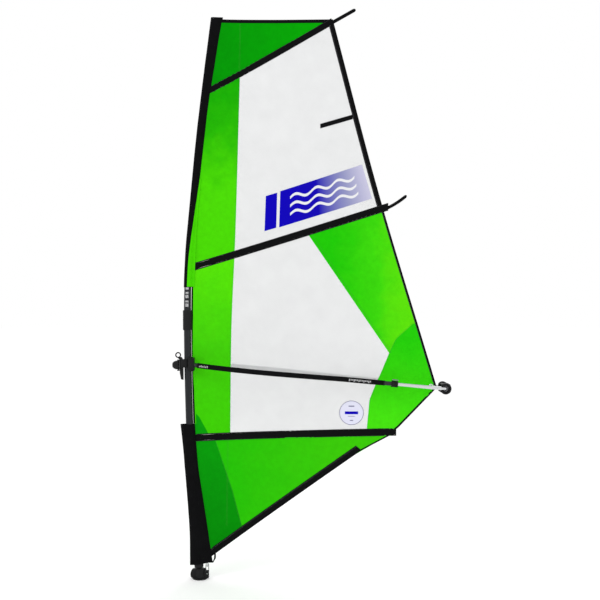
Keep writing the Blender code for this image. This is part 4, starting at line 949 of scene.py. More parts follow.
# foot of the sail, under the lower batten
def foot_offset(points, distance):
    """Shift the foot line square to itself, upwards."""
    (xa, za), (xb, zb) = points[-2], points[-1]
    length = math.hypot(xb - xa, zb - za)
    return [(x - (zb - za) / length * distance, z + (xb - xa) / length * distance) for x, z in points]


foot_inner = foot_offset(FOOT_LINE, FOOT_TAPE)
foot_slope = (foot_inner[2][1] - foot_inner[1][1]) / (foot_inner[2][0] - foot_inner[1][0])


def foot_z(x):
    return foot_inner[1][1] + foot_slope * (x - foot_inner[1][0])


tack_luff = curve_points(BIB_AFT, 0.240, 0.858, 12)
tack_luff[-1] = (tack_luff[-1][0], line_z(LOW_BATTEN, tack_luff[-1][0], -low_half))
tack_foot = (tack_luff[0][0] + 0.009, foot_z(tack_luff[0][0] + 0.009))
tack_seam = [(0.2560, foot_z(0.2560)), (0.1953, 0.5513), (0.1638, 0.6458)]
tack_seam += on_edge(LOW_BATTEN, -low_half, 0.0914)
tack_left = [tack_foot] + tack_luff[1:]
sail_panel("tack_patch_lower_cloth", between(tack_left, tack_seam), tack_cloth,
           "tack_patch_lower", 0.0013, (0.002, 0.006, UNDER, UNDER))
foot_end = [(1.0300, foot_z(1.0300))] + on_edge(LOW_BATTEN, -low_half, 1.1800)
sail_panel("foot_panel_cloth", between(tack_seam, foot_end), foot_cloth, "foot_panel",
           laps=(0.0, 0.0, UNDER, UNDER))
tack_front = [(luff_x(0.94) + 0.002, line_z(LOW_BATTEN, -0.03, low_half)), (luff_x(1.055) + 0.0005, 1.055)]
tack_back = on_edge(LOW_BATTEN, low_half, 0.0500) + [(0.0315, 0.948), (-0.0060, 1.0175), (-0.0400, 1.052)]
sail_panel("tack_patch_upper_cloth", between(tack_front, tack_back), tack_cloth, None,
           0.0014, (0.0, 0.0, UNDER, 0.0), 0.008)
# corner of foot cloth that runs on past the foot tape, up to the lower batten's end
foot_tip = [(0.9800, FOOT_LINE[2][1] - 0.0460), (1.1900, 0.8990)]
corner_high = on_edge(LOW_BATTEN, -low_half, 1.2050)[0]
sail_panel("foot_corner_cloth",
           (foot_tip, [(1.1200, foot_z(1.1200)), corner_high],
            [foot_tip[0], (0.9600, foot_z(0.9600)), (1.0300, foot_z(1.0300) + 0.006),
             (1.1200, foot_z(1.1200))],
            [foot_tip[1], corner_high]),
           foot_cloth, None, 0.0007, (0.0, 0.0, 0.0, 0.003))


# ---- Green wraps over the upper sleeve -----------------------------------------------------------
# Below the sleeve's middle the sail's green cloth laps forward over its black sides, and tapers out upwards.
def wrap_edge(z):
    """Front edge of the wrap, where the black sleeve comes out from under it."""
    return smooth_value([(1.80, -0.082), (2.03, -0.069), (2.26, -0.038), (2.41, -0.017), (2.56, 0.005)], z)


def wrap_point(side, j, k, out):
    z = 1.838 + (2.52 - 1.838) * j / 60
    edge, back = wrap_edge(z), luff_x(z) + 0.010
    low, high = 0.02, 0.49
    for _ in range(18):
        middle = (low + high) / 2
        if hug_point(z, middle, out, luff_x(z) + 0.0015).x > edge:
            low = middle
        else:
            high = middle
    if k == 0:
        return Vector((back, side * (0.0010 + out * 0.2), z))
    point = hug_point(z, low * (k - 1) / 11, out + max(0.0, sleeve_crease(z, low * (k - 1) / 11)),
                      luff_x(z) + 0.0015)
    return Vector((point.x, side * point.y, z))


for word, side in (("port", 1), ("starboard", -1)):
    wrap = shell("luff_wrap_" + word, lambda j, k: wrap_point(side, j, k, 0.0047),
                 lambda j, k: wrap_point(side, j, k, 0.0040), 61, 13, upper_luff_cloth, True)
    ride_as(wrap, "root")


# ---- Edge tapes and hems -------------------------------------------------------------------------
# Black woven tape folded over the sail's raw edges and sewn through. The leech tape is wide above the middle
# batten and narrow below it, and the foot's wide tape turns into a narrow hem before the lower batten.
def edge_tape(name, inner, outer, node, thick=0.0021):
    """A folded tape between two long edges of (x, height) points, given in the same direction."""
    return sail_panel(name, between(inner, outer), webbing_black, node, thick,
                      mesh_step=0.010)


tape, lap = LEECH_TAPE["upper"], 0.006
upper_tape_outer = curve_points(LEECH, leech_meet(MID_BATTEN, mid_half, 0.0)[1] - lap, HEAD_Z)
upper_tape_inner = curve_points(LEECH, leech_meet(MID_BATTEN, mid_half, tape)[1] - lap, HEAD_Z)
upper_tape_inner = shifted(upper_tape_inner, -tape)
edge_tape("leech_tape_upper_folded", upper_tape_inner, upper_tape_outer, "leech_tape_upper")
tape = LEECH_TAPE["lower"]
lower_tape_outer = curve_points(LEECH, CLEW[1] + 0.004, leech_meet(MID_BATTEN, -mid_half, 0.0)[1] + lap)
lower_tape_inner = curve_points(LEECH, CLEW[1] + 0.020, leech_meet(MID_BATTEN, -mid_half, tape)[1] + lap)
lower_tape_inner = shifted(lower_tape_inner, -tape)
edge_tape("leech_tape_lower_folded", lower_tape_inner, lower_tape_outer, "leech_tape_lower")
bare = curve_points(MAST_AXIS, 0.975, 1.850)
bare_aft = [(luff_x(z) + 0.0060, z) for _, z in bare]
edge_tape("luff_tape_folded", [(x + MAST_RADIUS + 0.0012, z) for x, z in bare], bare_aft, None, 0.0018)
edge_tape("head_tape_folded", [(luff_x(HEAD_Z) - 0.004, HEAD_Z + 0.004), (0.838, HEAD_Z + 0.004)],
          [(luff_x(HEAD_Z) - 0.004, HEAD_Z - 0.017), (0.838, HEAD_Z - 0.017)], None)
clew_hem = [(1.2300, line_z(LOW_BATTEN, 1.23, low_half) - 0.012), (1.2500, 0.9480), (1.4700, 1.1790),
            (1.4900, 1.2010)]
edge_tape("clew_hem_folded", shifted(clew_hem, -0.0085, 0.0085), clew_hem, None, 0.0026)
foot_low_edge = [(0.0720, FOOT_LINE[0][1] + 0.0056), (0.0990, FOOT_LINE[0][1] + 0.0245), FOOT_LINE[1],
                 (1.0200, FOOT_LINE[2][1] - 0.0182)]
foot_high_edge = foot_offset(foot_low_edge, FOOT_TAPE)
foot_high_edge[0] = (0.0600, 0.1780)
foot_high_edge[1] = (foot_low_edge[1][0] - 0.0160, foot_high_edge[1][1] + 0.008)
foot_high_edge[-1] = (foot_high_edge[-1][0] - 0.012, foot_high_edge[-1][1] - 0.008)
edge_tape("foot_tape_folded", foot_high_edge, foot_low_edge, "foot_tape", 0.0024)
foot_hem = [(1.0120, FOOT_LINE[2][1] - 0.0240), (1.1960, 0.8975)]
edge_tape("foot_hem_folded", shifted(foot_hem, -0.0045, 0.0075), foot_hem, None, 0.0022)


# ---- Batten pockets and batten tails -------------------------------------------------------------
# Tubular webbing sewn across the sail round stiff flat battens, with a flat selvedge each side of the bulge.
# The top and middle battens end in stiff bowed webbing tails that stick out past the leech.
def pocket_sleeve(name, batten, kind, x_from, x_to, node, depth=0.0072):
    """A closed sleeve whose middle bulges round its batten and whose edges lie flat on the sail."""
    half = POCKET_HALF[kind]
    slope = ((1.0, 0.10), (0.90, 0.14), (0.80, 0.16), (0.72, 0.55), (0.60, 0.86), (0.30, 0.97))
    shape = tuple((-across, rise) for across, rise in slope) + ((0.0, 1.0),) + slope[::-1]
    bm = bmesh.new()
    layer = bm.loops.layers.uv.new("UVMap")
    rings, marks = [], []
    steps = math.ceil((x_to - x_from) / 0.010)
    for k in range(steps + 1):
        x = x_from + (x_to - x_from) * k / steps
        near_end = min(k, steps - k) / steps * (x_to - x_from)
        swell = 0.35 + 0.65 * min(1.0, near_end / 0.030)
        pucker = 0.0004 * math.sin(x * 410.0)
        ring = []
        for face, row in ((-1, shape), (1, shape[::-1])):
            for across, rise in row:
                z = line_z(batten, x, across * half)
                y = camber(x, z) + face * (depth / 2 * rise * swell + 0.0006) + pucker * (1 - rise)
                ring.append(bm.verts.new((x, y, z)))
        rings.append(ring)
        marks.append(x - x_from)
    skin(bm, rings, layer, marks)
    cap_ends(bm, rings)
    return ride_as(mesh_object(name, bm, webbing_black, 70.0), "root", [node])


pocket_sleeve("pocket_top_sleeve", TOP_BATTEN, "top", luff_x(3.0700) - 0.0060, 0.8280, "pocket_top")
pocket_sleeve("pocket_middle_sleeve", MID_BATTEN, "middle", -0.0500, 1.1860, "pocket_middle")
pocket_sleeve("pocket_lower_sleeve", LOW_BATTEN, "lower", -0.0280, 1.2380, "pocket_lower")
pocket_sleeve("pocket_short_sleeve", SHORT_BATTEN, "short", 0.7580, 0.9620, "pocket_short", 0.0050)

batten_glass = mottled("batten_glass", (0.30, 0.31, 0.27), 0.42, (0.20, 0.21, 0.18), (0.46, 0.47, 0.42),
                       (12.0, 4.0), (0.30, 0.5), stretch=(2.0, 1.0, 90.0))


def tail_strip(name, start, end, bow, width, node):
    """A stiff folded webbing strip, bowed downwards, with a rounded tip."""
    bm = bmesh.new()
    rings = []
    length = math.dist(start, end)
    nx, nz = -(end[1] - start[1]) / length, (end[0] - start[0]) / length
    base = camber(start[0] - 0.04, start[1])
    under = [(-1, -1), (-0.8, -1.2), (0, -1.25), (0.8, -1.2), (1, -1)]
    crown = under + [(across, -rise) for across, rise in under[::-1]]
    for k in range(31):
        t = -0.22 + 1.22 * k / 30
        x, z = start[0] + (end[0] - start[0]) * t, start[1] + (end[1] - start[1]) * t
        z -= 4 * bow * max(t, 0.0) * (1 - t)
        tip = max(0.0, (t - 0.90) / 0.10)
        half = width / 2 * math.sqrt(max(0.0, 1.0 - 0.80 * tip * tip))
        rings.append([bm.verts.new((x + nx * half * a, base + (0.0014 - 0.0004 * abs(a)) * b,
                                    z + nz * half * a)) for a, b in crown])
    skin(bm, rings)
    cap_ends(bm, rings)
    return ride_as(mesh_object(name, bm, webbing_black, 60.0), "root", [node])


tail_strip("batten_tail_top_folded", (0.8430, 3.5080), (0.9800, 3.5850), 0.0, 0.022, "batten_tail_top")
tail_strip("batten_tail_middle_folded", (1.1690, 2.3290), (1.3020, 2.4130), 0.007, 0.020,
           "batten_tail_middle")
for node in ("batten_top", "batten_middle", "batten_lower"):
    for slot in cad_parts[node].material_slots:
        slot.material = batten_glass
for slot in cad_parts["mast_ferrule"].material_slots:
    slot.material = mast_lacquer


# ---- Stitching -----------------------------------------------------------------------------------
# Rows of polyester thread, sewn through the panel laps, the leech and foot tapes and the pockets, and seen on
# both faces. Each row follows its seam, and one tree lays the stitches along the rows at an even spacing.
def stitch_tree(material):
    """Nodes that turn rows of edges into small stitches of the given spacing, length and width."""
    tree = bpy.data.node_groups.new("stitch_rows", "GeometryNodeTree")
    face = tree.interface
    face.new_socket("Geometry", in_out="INPUT", socket_type="NodeSocketGeometry")
    for label, value in (("Spacing", 0.008), ("Stitch Length", 0.005), ("Stitch Width", 0.0009)):
        face.new_socket(label, in_out="INPUT", socket_type="NodeSocketFloat").default_value = value
    face.new_socket("Geometry", in_out="OUTPUT", socket_type="NodeSocketGeometry")
    start, end = tree.nodes.new("NodeGroupInput"), tree.nodes.new("NodeGroupOutput")
    to_curve = tree.nodes.new("GeometryNodeMeshToCurve")
    resample = tree.nodes.new("GeometryNodeResampleCurve")
    resample.mode = "LENGTH"
    size = tree.nodes.new("ShaderNodeCombineXYZ")
    thread = tree.nodes.new("GeometryNodeMeshCube")
    tangent = tree.nodes.new("GeometryNodeInputTangent")
    turn = tree.nodes.new("FunctionNodeAlignEulerToVector")
    turn.axis = "X"
    lay = tree.nodes.new("GeometryNodeInstanceOnPoints")
    realize = tree.nodes.new("GeometryNodeRealizeInstances")
    paint = tree.nodes.new("GeometryNodeSetMaterial")
    paint.inputs["Material"].default_value = material
    for source, out, target, into in (
            (start, "Geometry", to_curve, "Mesh"), (to_curve, "Curve", resample, "Curve"),
            (start, "Spacing", resample, "Length"), (start, "Stitch Length", size, "X"),
            (start, "Stitch Width", size, "Y"), (start, "Stitch Width", size, "Z"),
            (size, "Vector", thread, "Size"), (tangent, "Tangent", turn, "Vector"),
            (resample, "Curve", lay, "Points"), (thread, "Mesh", lay, "Instance"),
            (turn, "Rotation", lay, "Rotation"), (lay, "Instances", realize, "Geometry"),
            (realize, "Geometry", paint, "Geometry"), (paint, "Geometry", end, "Geometry")):
        tree.links.new(source.outputs[out], target.inputs[into])
    return tree


def laid_by(tree, name, rows, settings, body):
    """Run a tree over rows of points and keep the result as a plain mesh."""
    bm = bmesh.new()
    for row in rows:
        made = [bm.verts.new(p) for p in row]
        for a, b in zip(made, made[1:]):
            bm.edges.new((a, b))
    mesh = bpy.data.meshes.new(name + "_rows")
    bm.to_mesh(mesh)
    bm.free()
    base = bpy.data.objects.new(name + "_rows", mesh)
    bpy.context.scene.collection.objects.link(base)
    modifier = base.modifiers.new("rows", "NODES")
    modifier.node_group = tree
    for item in tree.interface.items_tree:
        if item.in_out == "INPUT" and item.name in settings:
            modifier[item.identifier] = settings[item.name]
    graph = bpy.context.evaluated_depsgraph_get()
    made = bpy.data.meshes.new_from_object(base.evaluated_get(graph))
    base.modifiers.remove(modifier)
    bpy.data.objects.remove(base)
    made.name = name
    piece = bpy.data.objects.new(name, made)
    bpy.context.scene.collection.objects.link(piece)
    return ride_as(piece, body)


def seam_row(points, lift):
    """A row of (x, height) points laid on the sail's face, lift off its middle surface."""
    count = max(2, math.ceil(sum(math.dist(a, b) for a, b in zip(points, points[1:])) / 0.010))
    row = []
    for k in range(count + 1):
        x, z = along(points, k / count)
        row.append((x, camber(x, z) + wrinkle(x, z) + lift, z))
    return row


def beside(points, distance):
    """A polyline moved sideways by distance, to its left as it runs."""
    made = []
    for i, (x, z) in enumerate(points):
        a, b = points[max(i - 1, 0)], points[min(i + 1, len(points) - 1)]
        length = math.hypot(b[0] - a[0], b[1] - a[1])
        made.append((x - (b[1] - a[1]) / length * distance, z + (b[0] - a[0]) / length * distance))
    return made


thread_dark = mottled("thread_dark", (0.05, 0.05, 0.055), 0.6, (0.03, 0.03, 0.033), (0.09, 0.09, 0.10),
                      (700.0, 2.0))
thread_green = mottled("thread_green", srgb(20, 130, 10), 0.6, srgb(20, 120, 10), srgb(60, 180, 30),
                       (700.0, 2.0))

THREAD_PROUD = 0.0002
green_rows, dark_rows = [], []
for seam, laps, thick in ((upper_seam, (-0.002, -0.008), 0.0009), (lower_seam, (-0.002, -0.008), 0.0009),
                          (leech_seam, (-0.003, -0.008), 0.0010), (clew_low, (0.0015, 0.006), 0.0014),
                          (clew_high, (0.0015, 0.006), 0.0014), (tack_seam, (-0.003, -0.007), 0.0013)):
    for lap in laps:
        for face in (-1, 1):
            green_rows.append(seam_row(beside(seam, lap), face * (thick / 2 + THREAD_PROUD)))
seam_guide = [(0.1700, 0.330), (0.1760, line_z(LOW_BATTEN, 0.176, -low_half) - 0.004)]
head_guide = [(0.2500, 3.205), (0.2560, 3.490)]
for face in (-1, 1):
    for guide in (seam_guide, head_guide):
        green_rows.append(seam_row(guide, face * 0.0007))
        green_rows.append(seam_row(beside(guide, 0.006), face * 0.0007))
laid_by(stitch_tree(thread_green), "panel_stitching", green_rows,
        {"Spacing": 0.0085, "Stitch Length": 0.0055, "Stitch Width": 0.0008}, "root")
for batten, kind, x_from, x_to in ((TOP_BATTEN, "top", 0.075, 0.82), (MID_BATTEN, "middle", -0.045, 1.18),
                                   (LOW_BATTEN, "lower", -0.022, 1.23), (SHORT_BATTEN, "short", 0.762, 0.95)):
    for edge in (-1, 1):
        offset = edge * POCKET_HALF[kind] * 0.88
        row = [(x_from, line_z(batten, x_from, offset)), (x_to, line_z(batten, x_to, offset))]
        for face in (-1, 1):
            count = math.ceil((x_to - x_from) / 0.012)
            points = [along(row, k / count) for k in range(count + 1)]
            dark_rows.append([(x, camber(x, z) + face * 0.0014, z) for x, z in points])
for inner, outer, thick in ((upper_tape_inner, upper_tape_outer, 0.0021),
                            (lower_tape_inner, lower_tape_outer, 0.0021),
                            (foot_high_edge, foot_low_edge, 0.0024)):
    for share in (0.12, 0.20):
        middle = [(a[0] + (b[0] - a[0]) * share, a[1] + (b[1] - a[1]) * share) for a, b in zip(inner, outer)]
        for face in (-1, 1):
            dark_rows.append(seam_row(middle, face * (thick / 2 + THREAD_PROUD)))
laid_by(stitch_tree(thread_dark), "tape_stitching", dark_rows,
        {"Spacing": 0.0095, "Stitch Length": 0.0060, "Stitch Width": 0.0009}, "root")


# ---- Clew ring and prints ------------------------------------------------------------------------
# A pressed steel ring in the clew patch takes the outhaul. The film carries two ink prints, seen on both its
# faces: a blue band that fades aft, crossed by plain waves, and a small round badge.
flange = [(0.0078, 0.0022), (0.0086, 0.0029), (0.0104, 0.0031), (0.0124, 0.0026), (0.0140, 0.0014)]
ring_profile = [(radius, -rise) for radius, rise in flange] + flange[::-1]
clew_ring = ringed("clew_ring_pressed", ring_profile, (CLEW_RING[0], camber(*CLEW_RING), CLEW_RING[1]),
                   (0, 1, 0), bright_steel)
ride_as(clew_ring, "root", ["clew_ring"])


def ink(name, colour, edge_fade=None):
    made, tree, shader = new_material(name, colour, 0.42, gloss=0.02)
    speckle = noise_field(tree, object_place(tree), 240.0, 5.0)
    darker = tuple(c * 0.86 for c in colour)
    if edge_fade is None:
        two_tone(tree, shader, speckle, darker, colour)
        return made
    across, _ = uv_parts(tree)
    ramp = tree.nodes.new("ShaderNodeValToRGB")
    elements = ramp.color_ramp.elements
    elements[0].color, elements[1].color = (*colour, 1), (*edge_fade[-1][1], 1)
    elements[1].position = 1.0
    for place, stop in edge_fade[:-1]:
        elements.new(place).color = (*stop, 1)
    ragged = math_node(tree, "MULTIPLY", speckle, 0.03)
    tree.links.new(math_node(tree, "ADD", across, ragged), ramp.inputs["Fac"])
    tree.links.new(ramp.outputs["Color"], shader.inputs["Base Color"])
    return made


def print_patch(name, outline, material, lift, columns, rows):
    """A thin layer of ink on both faces of the film; outline is (bottom, top) rows of two or more points."""
    low, high = outline
    bm = bmesh.new()
    layer = bm.loops.layers.uv.new("UVMap")
    rims = []
    for depth in (-lift - INK_THICK, -lift, lift, lift + INK_THICK):
        grid = []
        for j in range(rows + 1):
            line = []
            for i in range(columns + 1):
                a, b = along(low, i / columns), along(high, i / columns)
                x, z = a[0] + (b[0] - a[0]) * j / rows, a[1] + (b[1] - a[1]) * j / rows
                line.append(bm.verts.new((x, camber(x, z) + wrinkle(x, z) + depth, z)))
            grid.append(line)
        for k, face in enumerate(fill_grid(bm, grid)):
            j, i = divmod(k, columns)
            for loop, (u, v) in zip(face.loops, ((i, j), (i + 1, j), (i + 1, j + 1), (i, j + 1))):
                loop[layer].uv = (u / columns, v / rows)
        rims.append(rim_of(grid))
    skin(bm, rims[:2])
    skin(bm, rims[2:])
    return ride_as(mesh_object(name, bm, material, 60.0), "root")


INK_LIFT = 0.00055
blue_ink = ink("ink_blue", srgb(14, 4, 180))
fading_ink = ink("ink_blue_fading", srgb(14, 4, 176), [(0.45, srgb(20, 8, 168)), (0.78, srgb(143, 145, 185)),
                                                       (1.0, srgb(190, 188, 212))])
white_ink = ink("ink_white", (0.80, 0.80, 0.82))
print_patch("print_block", ([(0.4051, 2.1905), (0.4794, 2.2126)], [(0.4133, 2.4135), (0.4857, 2.4343)]),
            blue_ink, INK_LIFT, 6, 16)
BAND_LOW, BAND_HIGH = [(0.4977, 2.2145), (1.0836, 2.3940)], [(0.5053, 2.4438), (1.0206, 2.6082)]
print_patch("print_band", (BAND_LOW, BAND_HIGH), fading_ink, INK_LIFT, 48, 18)


def band_place(across, up):
    a, b = along(BAND_LOW, across), along(BAND_HIGH, across)
    return (a[0] + (b[0] - a[0]) * up, a[1] + (b[1] - a[1]) * up)


WAVE_HALF = 0.0085
for k in range(3):
    centre = [band_place(0.12 + 0.76 * i / 40, 0.27 + 0.23 * k + 0.065 * math.sin(i / 40 * 6 * math.pi))
              for i in range(41)]
    wave_sides = [shifted(centre, dz=rise) for rise in (-WAVE_HALF, WAVE_HALF)]
    print_patch("print_wave_%d" % (k + 1), wave_sides, white_ink, INK_LIFT + 0.00022, 60, 2)
lilac_ink = ink("ink_lilac", srgb(226, 226, 244))
grey_ink = ink("ink_grey", srgb(120, 120, 150))
BADGE, BADGE_RADIUS = (0.956, 1.040), 0.077


def round_patch(name, inner, outer, material, lift):
    turns = [2 * math.pi * k / 64 for k in range(65)]
    edges = [[(BADGE[0] + r * math.cos(-t), BADGE[1] + r * math.sin(-t)) for t in turns]
             for r in (inner, outer)]
    return print_patch(name, edges, material, lift, 64, 2)


round_patch("badge_fill", 0.0010, BADGE_RADIUS - 0.003, lilac_ink, INK_LIFT)
round_patch("badge_rim", BADGE_RADIUS - 0.0034, BADGE_RADIUS, grey_ink, INK_LIFT + 0.0002)
for k, (rise, half, tall) in enumerate(((0.042, 0.018, 0.007), (0.0, 0.042, 0.018), (-0.022, 0.022, 0.003),
                                        (-0.048, 0.010, 0.006))):
    x, z = BADGE[0], BADGE[1] + rise
    print_patch("badge_bar_%d" % (k + 1), ([(x - half, z - tall / 2), (x + half, z - tall / 2)],
                                           [(x - half, z + tall / 2), (x + half, z + tall / 2)]),
                blue_ink if k == 1 else grey_ink, INK_LIFT + 0.0002, 8, 2)


# ---- Boom arms and grips -------------------------------------------------------------------------
# Two bowed alloy tubes, each under a long sleeve of closed-cell foam grip with a moulded ring at both ends.
# Plain tick marks are printed on the grips beside the head and beside the tail lock.
TAIL_APART = 0.075              # half the distance between the tail tubes
ARM_HALF = [(-0.0317, 0.056), (0.08, 0.116), (0.24, 0.158), (0.43, 0.170), (0.66, 0.136), (0.90, 0.078),
            (1.00, TAIL_APART), (1.30, TAIL_APART)]      # (x, half width)
ARM_RADIUS, GRIP_RADIUS, MARK_RADIUS = 0.0135, 0.0158, 0.0160
SIDES = (("port", 1), ("starboard", -1))


def arm_centre(side, x):
    straight = min(1.0, max(0.0, (x - 0.915) / 0.030))
    half = smooth_value(ARM_HALF, min(x, 0.93)) * (1 - straight) + TAIL_APART * straight
    return Vector((x, side * half, boom_z(x)))


def arm_run(side, low, high, step=0.015):
    count = math.ceil((high - low) / step)
    return [arm_centre(side, low + (high - low) * k / count) for k in range(count + 1)]


grip_foam, tree, shader = new_material("grip_foam", (0.012, 0.012, 0.013), 0.88, gloss=0.04)
foam_place = object_place(tree)
cells = add_node(tree, "ShaderNodeTexVoronoi", Scale=620.0)
tree.links.new(foam_place, cells.inputs["Vector"])
rubbed = noise_field(tree, foam_place, 26.0, 6.0)
two_tone(tree, shader, rubbed, (0.002, 0.002, 0.002), (0.008, 0.008, 0.009))
rough_range(tree, shader, rubbed, 0.78, 0.95)
relief(tree, shader, cells.outputs["Distance"], 0.5, 0.0007)

arm_black = mottled("arm_black", (0.010, 0.010, 0.012), 0.36, (0.007, 0.007, 0.009), (0.020, 0.020, 0.024),
                    (300.0, 4.0), (0.28, 0.46), stretch=(0.2, 1.0, 1.0), gloss=0.35)


def wrapped_mark(bm, side, low, high, start, end):
    """A thin printed patch on the outer side of a grip, from low to high along it and between two angles."""
    grid = []
    for j in range(5):
        x = low + (high - low) * j / 4
        ahead = (arm_centre(side, x + 0.004) - arm_centre(side, x - 0.004)).normalized()
        out = Vector((-ahead.y, ahead.x, 0)).normalized() * side
        up = ahead.cross(out).normalized()
        up = up if up.z > 0 else -up
        grid.append([bm.verts.new(arm_centre(side, x) + MARK_RADIUS * (math.cos(t) * out + math.sin(t) * up))
                     for t in (start + (end - start) * i / 6 for i in range(7))])
    fill_grid(bm, grid)


for word, side in SIDES:
    run = arm_run(side, -0.0245, 1.197)
    arm = swept("boom_arm_%s_bowed" % word, run, [ARM_RADIUS] * len(run), arm_black, 28, 0.0016)
    ride_as(arm, "root", ["boom_arm_" + word])
    run = arm_run(side, 0.0020, 1.1500, 0.010)
    radii = []
    for k in range(len(run)):
        near_end = min(k, len(run) - 1 - k)
        swell = 0.00018 * noise.noise(Vector((k * 0.35, side * 5.0, 0.0)))
        radii.append(GRIP_RADIUS + swell - (0.0008 if near_end == 0 else 0.0))
    grip = swept("boom_grip_%s_foam" % word, run, radii, grip_foam, 32, 0.0020)
    ride_as(grip, "root", ["boom_grip_" + word])
    for end, place in (("front", -0.0035), ("aft", 1.1530)):
        ring = arm_run(side, place - 0.0035, place + 0.0035, 0.001)
        radii = [0.0166 - 0.0012 * (abs(k / (len(ring) - 1) - 0.5) * 2) ** 4 for k in range(len(ring))]
        cap = swept("grip_ring_%s_%s" % (word, end), ring, radii, moulded_black, 32, 0.0028)
        ride_as(cap, "root")
    bm = bmesh.new()
    for k in range(6):
        wrapped_mark(bm, side, 0.012 + 0.0095 * k, 0.018 + 0.0095 * k, -0.42, 0.42 if k % 2 else 0.15)
    for k in range(14):
        start = -0.15 - 0.35 * (k % 3 == 0)
        wrapped_mark(bm, side, 0.934 + 0.0100 * k, 0.9405 + 0.0100 * k, start, 0.42)
    bmesh.ops.solidify(bm, geom=list(bm.faces), thickness=-0.0001)
    ride_as(mesh_object("grip_ticks_" + word, bm, print_white), "root")


# ---- Boom tail and its locks ---------------------------------------------------------------------
# Two drawn alloy tubes slide in the arms. Moulded clamp collars with flip levers lock them, and a moulded end
# fitting with two C-shaped bumpers and two outhaul sheaves joins them.
TAIL_AXIS = Vector((1, 0, BOOM_SLOPE)).normalized()
for word, side in SIDES:
    start, end = (Vector((x, side * TAIL_APART, boom_z(x))) for x in (0.960, 1.5360))
    run = [start.lerp(end, k / 40) for k in range(41)]
    run += [end + TAIL_AXIS * 0.0030, end + TAIL_AXIS * 0.0045]
    tube = swept("boom_tail_tube_%s_drawn" % word, run, [0.0113] * 41 + [0.0104, 0.0085], brushed_alloy, 36,
                 0.0014)
    ride_as(tube, "boom_tail", ["boom_tail_tube_" + word])
    plug_profile = [(0.0, 0.0), (0.0098, 0.0), (0.0098, 0.0085), (0.0070, 0.0105), (0.0, 0.0112)]
    plug = ringed("tail_plug_" + word, plug_profile, end - TAIL_AXIS * 0.006, TAIL_AXIS, moulded_grey, 32)
    ride_as(plug, "boom_tail")
    rib_profile = [(0.0121, 0.0), (0.0190, 0.0), (0.0205, 0.0016)]
    for k in range(4):
        foot = 0.0145 + 0.0058 * k
        rib_profile += [(0.0205, foot), (0.0192, foot + 0.0008), (0.0192, foot + 0.0022),
                        (0.0205, foot + 0.0030)]
    rib_profile += [(0.0205, 0.0395), (0.0185, 0.0420), (0.0121, 0.0420)]
    collar = ringed("tail_lock_collar_%s_ribbed" % word, rib_profile,
                    (1.1976, side * TAIL_APART, boom_z(1.1976)), TAIL_AXIS, moulded_black)
    ride_as(collar, "root", ["tail_lock_collar_" + word])
    node = "tail_lock_lever_" + word
    eased(node + "_moulded", node, moulded_grey, node, 0.0007)
    node = "outhaul_sheave_" + word
    eased(node + "_turned", node, moulded_grey, node, 0.0003, 2)

END_CENTRE = Vector((1.538, 0, boom_z(1.538)))
BUMPER_RADIUS = 0.0078
bm = bmesh.new()
bm.from_mesh(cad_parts["boom_end_fitting"].data)
bmesh.ops.remove_doubles(bm, verts=bm.verts, dist=0.00001)
bmesh.ops.dissolve_limit(bm, angle_limit=math.radians(1.0), verts=bm.verts, edges=bm.edges)
for side in (1, -1):
    cut = bmesh.ops.bisect_plane(bm, geom=list(bm.verts) + list(bm.edges) + list(bm.faces),
                                 plane_co=(0, side * 0.0545, 0), plane_no=(0, side, 0), clear_outer=True)
    bmesh.ops.edgenet_fill(bm, edges=[e for e in cut["geom_cut"] if isinstance(e, bmesh.types.BMEdge)])
long_edges = [e for e in bm.edges if abs(e.verts[0].co.y - e.verts[1].co.y) > 0.09
              and min(v.co.x for v in e.verts) > 1.560]
bmesh.ops.bevel(bm, geom=long_edges, offset=0.012, segments=5, profile=0.5, affect="EDGES",
                clamp_overlap=True)
ride_as(mesh_object("boom_end_bar", bm, moulded_black), "boom_tail", ["boom_end_fitting"])
for word, side in SIDES:
    turns = [math.radians(148 - 296 * k / 40) for k in range(41)]
    centres = [END_CENTRE + Vector((0.0280 * math.cos(t), side * TAIL_APART, 0.0280 * math.sin(t)))
               for t in turns]
    radii = [BUMPER_RADIUS * min(1.0, 0.72 + 0.28 * min(k, 40 - k) / 3) for k in range(41)]
    bumper = swept("end_bumper_" + word, centres, radii, moulded_black, 20)
    for vertex in bumper.data.vertices:
        vertex.co.y = side * TAIL_APART + (vertex.co.y - side * TAIL_APART) * 1.75
    ride_as(bumper, "boom_tail")
    cheek_profile = [(0.0, 0.0), (0.0290, 0.0), (0.0325, 0.0020), (0.0325, 0.0060), (0.0290, 0.0080),
                     (0.0215, 0.0080), (0.0205, 0.0088), (0.0, 0.0088)]
    cheek = ringed("end_cheek_" + word, cheek_profile, END_CENTRE + Vector((0, side * 0.0530, 0)),
                   (0, side, 0), moulded_black, 56)
    ride_as(cheek, "boom_tail")
    boss_profile = [(0.0, 0.0), (0.0190, 0.0), (0.0190, 0.0012), (0.0176, 0.0020), (0.0, 0.0020)]
    boss = ringed("end_boss_" + word, boss_profile, END_CENTRE + Vector((0, side * 0.0617, 0)), (0, side, 0),
                  moulded_grey, 48)
    ride_as(boss, "boom_tail")


